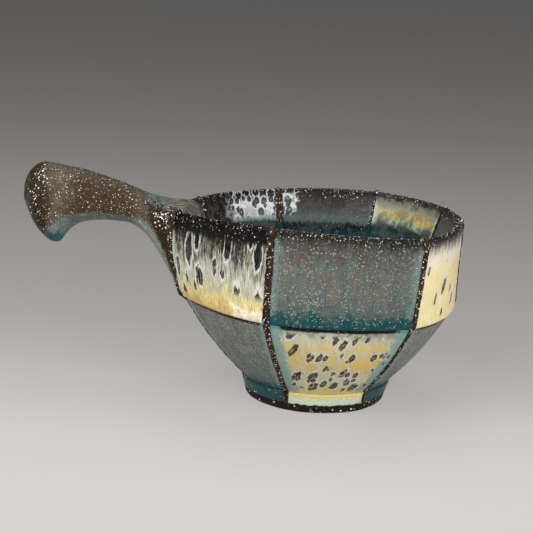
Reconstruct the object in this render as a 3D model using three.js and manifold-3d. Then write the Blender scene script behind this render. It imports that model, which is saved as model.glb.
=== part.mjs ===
// Handled bowl in stoneware, built from clay panels: an eight-sided wall in two tiers, clay strips
// squeezed into the joints between panels, a floor set on a foot ring, and a hollow side handle.
// Millimetres, +Z up, the handle along -X. The origin is the bottom centre of the whole object.
import * as THREE from 'three';
import { mergeVertices } from 'three/addons/utils/BufferGeometryUtils.js';
import Module from 'manifold-3d';

// Heights above the table
const FOOT_HEIGHT = 10;
const SHOULDER_HEIGHT = 50;
const RIM_HEIGHT = 93;
const BARE_BAND_HEIGHT = 4.4;

// Radii from the bowl's axis, on the outer face at a seam
const FOOT_BASE_RADIUS = 35;
const FOOT_TOP_RADIUS = 37.4;
const FOOT_BORE_RADIUS = 27;
const SHOULDER_RADIUS = 66.3;
const RIM_RADIUS = 69;

// Wall sizes, measured level
const RIM_THICKNESS = 3.6;
const WALL_THICKNESS = 7.5;
const FOOT_WALL_THICKNESS = 6.2;
const BELLY_DEPTH = 14;
const FLOOR_THICKNESS = 6;
const FLOOR_BOSS_DEPTH = 4;
const FLOOR_DISH = 1;

// How the panels swell: roundness 0 is a flat panel between its seams, 1 follows a circle
const RIM_ROUNDNESS = 0.85;
const SHOULDER_ROUNDNESS = 1;
const LOWER_ROUNDNESS = 0.95;
const INNER_ROUNDNESS = 1.1;
const FOOT_ROUNDNESS = 1;
const SCALLOP_DIP = 0.3;
const LIP_OVERHANG = 0.9;
const LIP_ROUND = 1.4;
const FOOT_LEDGE = 0.6;
const LOWER_SWELL = 2.2;

// Strips of clay in the joints
const STRIP_WIDTH = 3;
const STRIP_PROUD = 1.3;
const STRIP_INNER_PROUD = 0.8;
const STRIP_RIM_PROUD = 0.8;
const STRIP_BEVEL = 0.5;

// Handle: measured out from the rim and up from its edge
const NECK_OUT = 26;
const NECK_RISE = 7;
const NECK_HEIGHT = 17.2;
const NECK_WIDTH = 19;
const GRIP_LENGTH = 41.5;
const END_RISE = 17;
const END_HEIGHT = 39.8;
const END_WIDTH = 31;
const END_TILT = 11;
const HANDLE_WALL = 4.5;
const SADDLE_THICKNESS = 2;
const SADDLE_INSET = 3;
const KEEL_SHARE = 0.34;
const CAP_DOME = 12;
const CAP_DROOP = 0.47;
const CAP_CROWN = 4;

// Joints
const JOINT_GAP = 0.3;
const FLOOR_CLEARANCE = 0.45;
const EDGE_ROUND = 0.8;

// Seams in order round the rim, from the front of the handle: azimuth in degrees, with +X at 0,
// then how far the rim and the shoulder stand out and up there, because the bowl was made by hand
// and its wall is drawn out towards the handle, and how much the panel after the seam swells
const SEAMS = [
  { azimuth: -161.6, rimOut: 6.2, rimUp: 0, shoulderOut: 3.4, shoulderUp: 0.8, swell: 0.5 },
  { azimuth: -111, rimOut: -5.5, rimUp: 1.2, shoulderOut: -0.6, shoulderUp: 0, swell: 0.5 },
  { azimuth: -49.6, rimOut: 4, rimUp: -1.1, shoulderOut: 1.2, shoulderUp: -1.2, swell: 1 },
  { azimuth: -4, rimOut: -0.6, rimUp: -0.3, shoulderOut: 0.8, shoulderUp: 0.2, swell: 1 },
  { azimuth: 24, rimOut: 1.5, rimUp: -0.2, shoulderOut: 0, shoulderUp: 0, swell: 1.2 },
  { azimuth: 66, rimOut: 3, rimUp: 1.1, shoulderOut: 0.5, shoulderUp: 0, swell: 1.3 },
  { azimuth: 113, rimOut: -1, rimUp: 0.4, shoulderOut: 0, shoulderUp: 0, swell: 1 },
  { azimuth: 160, rimOut: 1.6, rimUp: -0.2, shoulderOut: 1.5, shoulderUp: 0, swell: 0.9 },
];
// How much of a shoulder's stand-out the wall under it follows
const LOWER_FOLLOW = 0.75;

// Facets
const PANEL_STEPS = 6;
const RISE_STEPS = 4;
const ROUND_STEPS = 4;
const LATHE_STEPS = 44;
const HANDLE_SIDES = 28;
const ROOT_STEPS = 9;
const GRIP_STEPS = 10;
const CAP_STEPS = 6;

// Glazes, by the colour and gloss that they show
const GLAZES = {
  yellow: new THREE.MeshStandardMaterial({ color: 0xd8c47c, roughness: 0.3, metalness: 0 }),
  grey: new THREE.MeshStandardMaterial({ color: 0x686d68, roughness: 0.45, metalness: 0 }),
  brown: new THREE.MeshStandardMaterial({ color: 0x3b2b1c, roughness: 0.5, metalness: 0 }),
  teal: new THREE.MeshStandardMaterial({ color: 0x1d585c, roughness: 0.2, metalness: 0 }),
  umber: new THREE.MeshStandardMaterial({ color: 0x55483a, roughness: 0.5, metalness: 0 }),
};

const { clamp, lerp, degToRad } = THREE.MathUtils;
const wasm = await Module();
wasm.setup();

const cross = (a, b) => a.x * b.y - a.y * b.x;
const steps = (count) => Array.from({ length: count + 1 }, (_, i) => i / count);

for (const seam of SEAMS) {
  const angle = degToRad(seam.azimuth);
  seam.direction = new THREE.Vector2(Math.cos(angle), Math.sin(angle));
}

// Closed solid through a row of sections with as many points each. flat gives a point's place on
// the plane of the end sections, which are filled.
function loft(sections, flat) {
  const count = sections[0].length;
  const points = sections.flat();
  const index = [];
  for (let s = 0; s < sections.length - 1; s++) {
    for (let i = 0; i < count; i++) {
      const a = s * count + i;
      const b = s * count + ((i + 1) % count);
      index.push(a, b, b + count, a, b + count, a + count);
    }
  }
  for (const [section, start, turned] of [
    [sections[0], 0, true],
    [sections.at(-1), points.length - count, false],
  ]) {
    const outline = section.map(flat);
    const wise = Math.sign(THREE.ShapeUtils.area(outline));
    for (const face of THREE.ShapeUtils.triangulateShape(outline, [])) {
      const faceWise = Math.sign(THREE.ShapeUtils.area(face.map((i) => outline[i])));
      const ordered = (faceWise === wise) !== turned ? face : [...face].reverse();
      index.push(...ordered.map((i) => i + start));
    }
  }
  return facingOut(points, index);
}

// Indexed geometry whose faces point out of the solid
function facingOut(points, index) {
  let volume = 0;
  for (let i = 0; i < index.length; i += 3) {
    const [a, b, c] = [points[index[i]], points[index[i + 1]], points[index[i + 2]]];
    volume += a.dot(b.clone().cross(c));
  }
  const geometry = new THREE.BufferGeometry().setFromPoints(points);
  geometry.setIndex(volume < 0 ? [...index].reverse() : index);
  geometry.computeVertexNormals();
  return geometry;
}

// Exact solid of a geometry, for cutting
function solidOf(geometry) {
  const bare = geometry.clone();
  bare.deleteAttribute('normal');
  bare.deleteAttribute('uv');
  const merged = mergeVertices(bare, 1e-4);
  const vertProperties = new Float32Array(merged.attributes.position.array);
  const triVerts = new Uint32Array(merged.index.array);
  return new wasm.Manifold(new wasm.Mesh({ numProp: 3, vertProperties, triVerts }));
}

function geometryOf(solid) {
  const mesh = solid.getMesh();
  const geometry = new THREE.BufferGeometry();
  geometry.setAttribute('position', new THREE.BufferAttribute(new Float32Array(mesh.vertProperties), 3));
  geometry.setIndex(new THREE.BufferAttribute(new Uint32Array(mesh.triVerts), 1));
  geometry.computeVertexNormals();
  return geometry;
}

// Places on the wall, as they are at an even seam. rimShare, outShare and upShare are how much a
// place takes of a seam's rim and shoulder values, and scallop of the lip's dip between seams.
function upperOuter(share) {
  return {
    radius: lerp(SHOULDER_RADIUS, RIM_RADIUS, share),
    height: lerp(SHOULDER_HEIGHT, RIM_HEIGHT - RIM_THICKNESS / 2, share),
    roundness: lerp(SHOULDER_ROUNDNESS, RIM_ROUNDNESS, share),
    rimShare: share,
    outShare: 1 - share,
    upShare: 1 - share,
    scallop: (1 - share) ** 2,
  };
}

// The inner face slopes in from the rim to its belly, and keeps the wall's thickness below that
function upperInner(share) {
  const outer = upperOuter(share);
  const depth = RIM_HEIGHT - RIM_THICKNESS / 2 - outer.height;
  const thickness = lerp(RIM_THICKNESS, WALL_THICKNESS, Math.min(1, depth / BELLY_DEPTH));
  return {
    ...outer,
    radius: outer.radius - thickness,
    roundness: lerp(INNER_ROUNDNESS, RIM_ROUNDNESS, share),
  };
}

function lowerOuter(share) {
  return {
    radius: lerp(FOOT_TOP_RADIUS - FOOT_LEDGE, SHOULDER_RADIUS - LIP_OVERHANG, share)
      + LOWER_SWELL * 4 * share * (1 - share),
    height: lerp(FOOT_HEIGHT + JOINT_GAP, SHOULDER_HEIGHT - JOINT_GAP, share),
    roundness: lerp(FOOT_ROUNDNESS, LOWER_ROUNDNESS, share),
    rimShare: 0,
    outShare: LOWER_FOLLOW * share,
    upShare: share,
    scallop: share ** 2,
  };
}

function lowerInner(share) {
  const footThickness = FOOT_WALL_THICKNESS - FOOT_LEDGE;
  const thickness = lerp(footThickness, WALL_THICKNESS - LIP_OVERHANG, share);
  const outer = lowerOuter(share);
  return {
    ...outer,
    radius: outer.radius - thickness,
    roundness: lerp(FOOT_ROUNDNESS, INNER_ROUNDNESS, share),
  };
}

// The lower wall's inner radius at a height, where the floor meets it
function lowerInnerRadius(height) {
  const low = lowerInner(0).height;
  const high = lowerInner(1).height;
  return lowerInner((height - low) / (high - low)).radius;
}

// The foot ring's outer radius at a height
function footRadius(height) {
  return lerp(FOOT_BASE_RADIUS, FOOT_TOP_RADIUS, height / FOOT_HEIGHT);
}

// Rim as half a circle from the outer face to the inner one
function rimArc() {
  const middle = upperOuter(1);
  return steps(ROUND_STEPS).slice(1, -1).map((turn) => ({
    ...middle,
    radius: middle.radius - (RIM_THICKNESS / 2) * (1 - Math.cos(turn * Math.PI)),
    height: middle.height + (RIM_THICKNESS / 2) * Math.sin(turn * Math.PI),
  }));
}

// Rounded lower lip of an upper panel, from under its edge to its outer face
function lipArc() {
  const lip = upperOuter(0);
  return steps(ROUND_STEPS / 2).map((turn) => ({
    ...lip,
    radius: lip.radius - LIP_ROUND * (1 - Math.sin((turn * Math.PI) / 2)),
    height: lip.height + LIP_ROUND * (1 - Math.cos((turn * Math.PI) / 2)),
  }));
}

function upperProfile() {
  const lipShare = (LIP_ROUND / (RIM_HEIGHT - SHOULDER_HEIGHT)) * 2;
  const bellyShare = 1 - BELLY_DEPTH / (RIM_HEIGHT - RIM_THICKNESS / 2 - SHOULDER_HEIGHT);
  return [
    ...lipArc(),
    ...steps(RISE_STEPS).map((t) => upperOuter(lerp(lipShare, 1, t))),
    ...rimArc(),
    ...steps(RISE_STEPS / 2).map((t) => upperInner(lerp(1, bellyShare, t))),
    ...steps(RISE_STEPS / 2).slice(1).map((t) => upperInner(lerp(bellyShare, 0, t))),
  ];
}

function lowerProfile() {
  return [
    ...steps(RISE_STEPS).map(lowerOuter),
    ...steps(RISE_STEPS).map((t) => lowerInner(1 - t)),
  ];
}

// Share of a panel's width at which its edge lies a set distance from the plane of its seam
function edgeShare(across, bow, edge) {
  const slope = across + 4 * bow;
  return (2 * edge) / (slope + Math.sqrt(slope * slope - 16 * bow * edge));
}

// A place's radius and height on one seam
function seamRadius(place, seam) {
  return place.radius + place.rimShare * seam.rimOut + place.outShare * seam.shoulderOut;
}

function seamHeight(place, seam) {
  return place.height + place.rimShare * seam.rimUp + place.upShare * seam.shoulderUp;
}

// A point of the wall between two seams, fraction 0 to 1 from one edge of the panel to the other.
// In plan a panel is the chord between its seams, bowed out by its roundness and its own swell,
// which dies out towards the round foot.
function wallPoint(first, second, place, fraction, edge) {
  const firstRadius = seamRadius(place, first);
  const secondRadius = seamRadius(place, second);
  const start = first.direction.clone().multiplyScalar(firstRadius);
  const chord = second.direction.clone().multiplyScalar(secondRadius).sub(start);
  const outward = new THREE.Vector2(chord.y, -chord.x).normalize();
  const halfAngle = Math.acos(first.direction.dot(second.direction)) / 2;
  const swell = lerp(1, first.swell, (place.rimShare + place.upShare) ** 2);
  const bow = swell * place.roundness * ((firstRadius + secondRadius) / 2) * (1 - Math.cos(halfAngle));
  const from = edgeShare(cross(first.direction, chord), bow * cross(first.direction, outward), edge);
  const to = edgeShare(cross(second.direction, chord), -bow * cross(second.direction, outward), edge);
  const u = lerp(from, 1 - to, fraction);
  const crown = 4 * u * (1 - u);
  const plan = start.addScaledVector(chord, u).addScaledVector(outward, bow * crown);
  const height = lerp(seamHeight(place, first), seamHeight(place, second), u);
  return new THREE.Vector3(plan.x, plan.y, height - place.scallop * SCALLOP_DIP * crown);
}

const seamPairs = SEAMS.map((seam, i) => [seam, SEAMS[(i + 1) % SEAMS.length]]);

function panelGeometry([first, second], profile) {
  const edge = STRIP_WIDTH / 2 + JOINT_GAP;
  const sections = steps(PANEL_STEPS).map((fraction) => (
    profile.map((place) => wallPoint(first, second, place, fraction, edge))
  ));
  return loft(sections, (p) => new THREE.Vector2(Math.hypot(p.x, p.y), p.z));
}

// Outline of a joint strip on the upright plane of its seam: radius across, height up.
// grow swells it all round, for cutting its place out of a neighbour.
function stripOutline(seam, grow) {
  const onSeam = (place, proud) => new THREE.Vector2(seamRadius(place, seam) + proud, seamHeight(place, seam));
  const tailFoot = BARE_BAND_HEIGHT + JOINT_GAP;
  const tailLean = Math.hypot(FOOT_TOP_RADIUS - FOOT_BASE_RADIUS, FOOT_HEIGHT) / FOOT_HEIGHT;
  const tailIn = (JOINT_GAP - grow) * tailLean;
  const tailOut = (JOINT_GAP + STRIP_PROUD + grow) * tailLean;
  const floorTop = FOOT_HEIGHT + JOINT_GAP + FLOOR_THICKNESS;
  const floorShare = (floorTop + JOINT_GAP - lowerInner(0).height)
    / (lowerInner(1).height - lowerInner(0).height);
  const innerProud = -STRIP_INNER_PROUD - grow;
  const rimCentre = onSeam(upperOuter(1), -RIM_THICKNESS / 2);
  const rimReach = RIM_THICKNESS / 2 + STRIP_RIM_PROUD + grow;
  const rimTop = steps(ROUND_STEPS).slice(1, -1).map((turn) => new THREE.Vector2(
    rimCentre.x - rimReach * Math.cos(turn * Math.PI),
    rimCentre.y + rimReach * Math.sin(turn * Math.PI),
  ));
  const bellyShare = 1 - BELLY_DEPTH / (RIM_HEIGHT - RIM_THICKNESS / 2 - SHOULDER_HEIGHT);
  return [
    new THREE.Vector2(footRadius(tailFoot) + tailIn, tailFoot - grow),
    new THREE.Vector2(footRadius(FOOT_HEIGHT) + tailIn, FOOT_HEIGHT + JOINT_GAP),
    onSeam(lowerInner(0), 0),
    onSeam(lowerInner(floorShare), 0),
    onSeam(lowerInner(floorShare), innerProud),
    onSeam(lowerInner((1 + floorShare) / 2), innerProud),
    onSeam(upperInner(0), innerProud),
    onSeam(upperInner(bellyShare), innerProud),
    ...rimTop,
    ...steps(RISE_STEPS / 2).map((t) => onSeam(upperOuter(1 - t), STRIP_PROUD + grow)),
    ...steps(RISE_STEPS).slice(1, -1).map((t) => onSeam(lowerOuter(1 - t), STRIP_PROUD + grow)),
    new THREE.Vector2(footRadius(FOOT_HEIGHT) + tailOut, FOOT_HEIGHT + STRIP_PROUD),
    new THREE.Vector2(footRadius(tailFoot) + tailOut, tailFoot - grow),
  ];
}

// Turns a geometry drawn on the plane of a seam, radius along X and height along Y, to its azimuth
function standOnSeam(geometry, seam) {
  geometry.rotateX(Math.PI / 2);
  geometry.rotateZ(degToRad(seam.azimuth));
  return geometry;
}

function stripGeometry(seam) {
  const depth = STRIP_WIDTH - 2 * STRIP_BEVEL;
  const geometry = new THREE.ExtrudeGeometry(new THREE.Shape(stripOutline(seam, 0)), {
    depth,
    bevelThickness: STRIP_BEVEL,
    bevelSize: STRIP_BEVEL,
    bevelOffset: -STRIP_BEVEL,
    bevelSegments: 2,
  });
  geometry.translate(0, 0, -depth / 2);
  return standOnSeam(geometry, seam);
}

// Room for a strip beside the handle, with the joint's gap all round
function stripRoom(seam) {
  const depth = STRIP_WIDTH + 2 * JOINT_GAP;
  const shape = new THREE.Shape(stripOutline(seam, JOINT_GAP));
  const geometry = new THREE.ExtrudeGeometry(shape, { depth, bevelEnabled: false });
  geometry.translate(0, 0, -depth / 2);
  return standOnSeam(geometry, seam);
}

// The foot ring's outer face leans out a little, and steps in below its glaze line
function footGeometry() {
  const step = EDGE_ROUND / 2;
  const profile = [
    [FOOT_BORE_RADIUS + EDGE_ROUND, 0],
    [FOOT_BASE_RADIUS - EDGE_ROUND, 0],
    [footRadius(EDGE_ROUND), EDGE_ROUND],
    [footRadius(BARE_BAND_HEIGHT) - step, BARE_BAND_HEIGHT - step],
    [footRadius(BARE_BAND_HEIGHT), BARE_BAND_HEIGHT],
    [footRadius(FOOT_HEIGHT - EDGE_ROUND), FOOT_HEIGHT - EDGE_ROUND],
    [FOOT_TOP_RADIUS - FOOT_LEDGE, FOOT_HEIGHT],
    [FOOT_BORE_RADIUS, FOOT_HEIGHT],
    [FOOT_BORE_RADIUS, EDGE_ROUND],
    [FOOT_BORE_RADIUS + EDGE_ROUND, 0],
  ].map(([radius, height]) => new THREE.Vector2(radius, height));
  return new THREE.LatheGeometry(profile, LATHE_STEPS).rotateX(Math.PI / 2);
}

// The floor rests on the foot ring, fits in its bore and fills the mouth of the lower panels
function floorGeometry() {
  const seat = FOOT_HEIGHT + JOINT_GAP;
  const top = seat + FLOOR_THICKNESS;
  const boss = FOOT_BORE_RADIUS - FLOOR_CLEARANCE;
  const profile = [
    [0, seat - FLOOR_BOSS_DEPTH],
    [boss - EDGE_ROUND, seat - FLOOR_BOSS_DEPTH],
    [boss, seat - FLOOR_BOSS_DEPTH + EDGE_ROUND],
    [boss, seat],
    [lowerInnerRadius(seat) - FLOOR_CLEARANCE, seat],
    [lowerInnerRadius(top) - FLOOR_CLEARANCE, top],
    [lowerInnerRadius(top) / 2, top - FLOOR_DISH / 2],
    [0, top - FLOOR_DISH],
  ].map(([radius, height]) => new THREE.Vector2(radius, height));
  return new THREE.LatheGeometry(profile, LATHE_STEPS).rotateX(Math.PI / 2);
}

// Room for the upper wall where the handle meets it: rings of the outer face, kept straight
// below the lip and closed just over the rim
function wallRoom() {
  const low = { ...upperOuter(0), height: SHOULDER_HEIGHT / 2, scallop: 0 };
  const high = { ...upperOuter(1), height: RIM_HEIGHT + JOINT_GAP };
  const places = [low, ...steps(RISE_STEPS).map(upperOuter), high];
  const rings = places.map((place) => seamPairs.flatMap(([first, second]) => (
    steps(PANEL_STEPS).slice(0, -1).map((fraction) => (
      wallPoint(first, second, { ...place, radius: place.radius + JOINT_GAP }, fraction, 0)
    ))
  )));
  return loft(rings, (p) => new THREE.Vector2(p.x, p.y));
}

// Middle of the panel that carries the handle, and half its width at the rim
const lastSeam = SEAMS.at(-1);
const rootHalfAngle = Math.acos(lastSeam.direction.dot(SEAMS[0].direction)) / 2;
const handleTurn = degToRad(lastSeam.azimuth) + rootHalfAngle;
const rootRadius = (seamRadius(upperOuter(1), lastSeam) + seamRadius(upperOuter(1), SEAMS[0])) / 2;
const rootHalfWidth = rootRadius * Math.sin(rootHalfAngle);
const neckReach = RIM_RADIUS + NECK_OUT;
const neckTop = RIM_HEIGHT + NECK_RISE;
const neckBottom = neckTop - NECK_HEIGHT;
const endTop = RIM_HEIGHT + END_RISE;
const endBottom = endTop - END_HEIGHT;

// Sizes of the handle's section in its root, which flares from the neck (0) to the rim (1)
function rootSection(share) {
  const flare = Math.min(1, share);
  return {
    reach: lerp(neckReach, RIM_RADIUS, share),
    top: lerp(RIM_HEIGHT + JOINT_GAP + SADDLE_THICKNESS, neckTop, (1 - flare) ** 2),
    bottom: lerp(neckBottom, SHOULDER_HEIGHT + LIP_ROUND, flare ** 1.5),
    halfWidth: lerp(NECK_WIDTH / 2, rootHalfWidth, flare ** 1.6),
    squareness: lerp(2.4, 5, flare),
    keelness: lerp(1.7, 5, flare),
    tilt: 0,
  };
}

// Sizes of the section along the grip, from the neck (0) to the end (1), where a lip hooks down
function gripSection(share) {
  return {
    reach: lerp(neckReach, neckReach + GRIP_LENGTH, share),
    top: lerp(neckTop, endTop, share),
    bottom: lerp(neckBottom, endBottom, share ** 4.5),
    halfWidth: lerp(NECK_WIDTH / 2, END_WIDTH / 2, share ** 1.6),
    squareness: 2.4,
    keelness: lerp(1.7, 2, share),
    tilt: END_TILT * share ** 2,
  };
}

// Points round one section: a rounded top over a keel, widest at a set share of its height.
// inset draws it in for the hollow, scale and out place the sections past the end, and dome swells
// the disc there, which stands out least at its foot.
function sectionPoints(size, inset, scale = 1, out = 0, dome = 0) {
  const widest = lerp(size.bottom, size.top, KEEL_SHARE);
  const middle = (size.bottom + size.top) / 2;
  const lean = Math.tan(degToRad(size.tilt));
  return steps(HANDLE_SIDES).slice(0, -1).map((turn) => {
    const cos = Math.cos(turn * 2 * Math.PI);
    const sin = Math.sin(turn * 2 * Math.PI);
    const power = 2 / (sin < 0 ? size.keelness : size.squareness);
    const tall = sin < 0 ? widest - size.bottom - inset : size.top - widest - inset;
    const side = Math.sign(cos) * Math.abs(cos) ** power * (size.halfWidth - inset);
    const height = widest + Math.sign(sin) * Math.abs(sin) ** power * tall;
    const risen = (height - middle) * scale;
    const lowness = clamp((CAP_CROWN - risen) / (CAP_CROWN + middle - size.bottom), 0, 1);
    const stand = out + dome * (1 - CAP_DROOP * lowness);
    return new THREE.Vector3(size.reach + stand + risen * lean, side * scale, middle + risen - stand * lean);
  });
}

// The handle leaves the wall as wide as its panel, laps over the rim and is hollow to its end
function handleGeometry() {
  const inside = (RIM_THICKNESS + SADDLE_INSET) / NECK_OUT;
  const rootSizes = steps(ROOT_STEPS).slice(0, -1).map((t) => rootSection(lerp(1 + inside, 0, t)));
  const gripSizes = steps(GRIP_STEPS).map(gripSection);
  const sizes = [...rootSizes, ...gripSizes];
  const facing = (p) => new THREE.Vector2(p.y, p.z);
  const outer = loft(sizes.map((size) => sectionPoints(size, 0)), facing);
  const past = sectionPoints(sizes.at(-1), HANDLE_WALL, 1, HANDLE_WALL);
  const hollowSections = sizes.map((size) => sectionPoints(size, HANDLE_WALL));
  const hollow = loft([...hollowSections, past], facing);
  outer.rotateZ(handleTurn);
  hollow.rotateZ(handleTurn);
  const cut = solidOf(outer)
    .subtract(solidOf(hollow))
    .subtract(solidOf(wallRoom()))
    .subtract(solidOf(stripRoom(lastSeam)))
    .subtract(solidOf(stripRoom(SEAMS[0])));
  return geometryOf(cut);
}

// Domed clay disc that closes the handle's end
function capGeometry() {
  const size = gripSection(1);
  const sections = steps(CAP_STEPS).slice(0, -1).map((turn) => {
    const angle = (turn * Math.PI) / 2;
    return sectionPoints(size, 0, Math.cos(angle), JOINT_GAP, CAP_DOME * Math.sin(angle));
  });
  const tip = sectionPoints(size, 0, 0.04, JOINT_GAP, CAP_DOME);
  const cap = loft([...sections, tip], (p) => new THREE.Vector2(p.y, p.z));
  return cap.rotateZ(handleTurn);
}

function named(name, geometry, material) {
  const mesh = new THREE.Mesh(geometry, material);
  mesh.name = name;
  return mesh;
}

const bowl = new THREE.Group();
bowl.add(named('foot_ring', footGeometry(), GLAZES.brown));
bowl.add(named('floor_disc', floorGeometry(), GLAZES.teal));
seamPairs.forEach((pair, i) => {
  const [upperGlaze, lowerGlaze] = i % 2 === 0 ? [GLAZES.yellow, GLAZES.grey] : [GLAZES.grey, GLAZES.yellow];
  bowl.add(named(`lower_panel_${i + 1}`, panelGeometry(pair, lowerProfile()), lowerGlaze));
  bowl.add(named(`upper_panel_${i + 1}`, panelGeometry(pair, upperProfile()), upperGlaze));
  bowl.add(named(`joint_strip_${i + 1}`, stripGeometry(pair[0]), GLAZES.brown));
});
bowl.add(named('handle_body', handleGeometry(), GLAZES.umber));
bowl.add(named('handle_end_cap', capGeometry(), GLAZES.grey));

const box = new THREE.Box3().setFromObject(bowl);
const middle = box.getCenter(new THREE.Vector3());
bowl.position.set(-middle.x, -middle.y, -box.min.z);

const handledBowl = new THREE.Group();
handledBowl.add(bowl);

export default handledBowl;
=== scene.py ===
"""Looks of a handled stoneware bowl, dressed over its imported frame.

Sizes in the classes are millimetres, out from the bowl's axis and up from the table.
"""
import logging
import math
from collections.abc import Callable, Sequence
from dataclasses import dataclass, replace
from enum import Enum

import bmesh
import bpy
import numpy as np
from mathutils import Matrix, Vector
from mathutils import noise as hand


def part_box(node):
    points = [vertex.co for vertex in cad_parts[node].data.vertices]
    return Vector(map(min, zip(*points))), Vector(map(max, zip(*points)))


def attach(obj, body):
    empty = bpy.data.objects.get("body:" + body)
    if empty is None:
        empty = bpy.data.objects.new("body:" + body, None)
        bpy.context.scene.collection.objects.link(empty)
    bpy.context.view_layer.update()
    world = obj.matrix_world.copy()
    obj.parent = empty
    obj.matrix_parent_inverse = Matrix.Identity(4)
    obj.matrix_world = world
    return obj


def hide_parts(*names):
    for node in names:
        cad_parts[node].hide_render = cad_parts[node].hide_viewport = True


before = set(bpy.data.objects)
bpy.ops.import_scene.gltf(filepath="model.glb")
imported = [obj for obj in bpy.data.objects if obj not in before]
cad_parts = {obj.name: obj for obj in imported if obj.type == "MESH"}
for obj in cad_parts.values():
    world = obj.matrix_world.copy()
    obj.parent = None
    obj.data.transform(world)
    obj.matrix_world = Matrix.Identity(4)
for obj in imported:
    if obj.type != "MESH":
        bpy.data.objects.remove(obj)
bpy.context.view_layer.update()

LOG = logging.getLogger("handled_bowl")
MM = 0.001
PANEL_STEP = 70.0

Colour = tuple[float, float, float, float]
Number = np.ndarray | float
Faces = list[tuple[int, ...]]
Piece = bpy.types.Object
Material = bpy.types.Material
NodeTree = bpy.types.NodeTree
Span = tuple[float, float]
Triple = tuple[float, float, float]
Settings = dict[str, object] | None
Inputs = dict[str | int, object] | None


class Slot(Enum):
    """Material slots of the record."""

    FOOT = "foot_clay"
    POOL = "pool_glaze"
    YELLOW = "yellow_glaze"
    GREY = "grey_glaze"
    BROWN = "brown_glaze"
    HANDLE = "handle_glaze"


class Tier(Enum):
    """The two tiers of wall panels."""

    UPPER = "upper_panel"
    LOWER = "lower_panel"


def tint(*tone: float) -> Colour:
    """Linear colour of a tone as the eye names it.

    Args:
        *tone: Red, green and blue, 0 to 255.

    Returns:
        The linear colour with full alpha.
    """
    shares = [value / 255 for value in tone]
    linear = [share / 12.92 if share <= 0.04045 else ((share + 0.055) / 1.055) ** 2.4 for share in shares]
    return (*linear, 1.0)


def blend(start: Number, end: Number, share: Number) -> Number:
    """Straight blend between two values."""
    return start + (end - start) * share


def smooth(share: Number) -> Number:
    """Eases a share that runs from 0 to 1."""
    held = np.clip(share, 0.0, 1.0)
    return held * held * (3 - 2 * held)


def eased(values: Number, start: float, end: float) -> Number:
    """Eased rise of values from 0 at a start to 1 at an end."""
    return smooth((values - start) / (end - start))


def crown(share: Number) -> Number:
    """Rises from 0 to 1 half way along a share, and falls back to 0."""
    return 4 * share * (1 - share)


def keep(data: bpy.types.Mesh, name: str, values: np.ndarray) -> None:
    """Keeps a value at each point of a mesh."""
    data.attributes.new(name, "FLOAT", "POINT").data.foreach_set("value", values.astype(np.float32))


def linked(name: str, data: bpy.types.ID) -> Piece:
    """A new object in the scene."""
    made = bpy.data.objects.new(name, data)
    bpy.context.scene.collection.objects.link(made)
    return made


# Shapes


@dataclass(frozen=True)
class Seam:
    """An upright joint between panels, and how the rim and the shoulder stray there.

    Beads and girths are shares of the usual ones. The knob is a swelling of the bead towards the rim, the
    bulge is of the wall half way up, and the swell is that of the panel after the seam. Angles are degrees.
    """

    azimuth: float
    rim_out: float
    rim_up: float
    shoulder_out: float = 0.0
    shoulder_up: float = 0.0
    bead: float = 1.0
    inner_bead: float = 0.75
    knob: float = 0.0
    rim_girth: float = 0.75
    bead_turn: float = 0.0
    bulge: float = 0.0
    swell: float = 1.0
    low_girth: float = 1.0

    def direction(self, turn: float = 0.0) -> np.ndarray:
        """Unit vector in plan from the axis to the seam, or to a place turned from it."""
        angle = math.radians(self.azimuth + turn)
        return np.array([math.cos(angle), math.sin(angle)])


@dataclass
class Places:
    """A row of places on the wall, as they are at an even seam.

    The shares say how far the straying of the rim, and of the shoulder outwards and upwards, reaches there.
    """

    radius: np.ndarray
    height: np.ndarray
    roundness: np.ndarray
    rim_share: np.ndarray
    out_share: np.ndarray
    up_share: np.ndarray
    scallop: np.ndarray

    @staticmethod
    def row(parts: Sequence["Places"]) -> "Places":
        """Rows of places joined end to end."""
        names = Places.__dataclass_fields__
        return Places(*(np.concatenate([getattr(part, name) for part in parts]) for name in names))

    def moved(self, out: Number, up: Number) -> "Places":
        """The same places moved outwards and upwards."""
        return replace(self, radius=self.radius + out, height=self.height + up)


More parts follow.
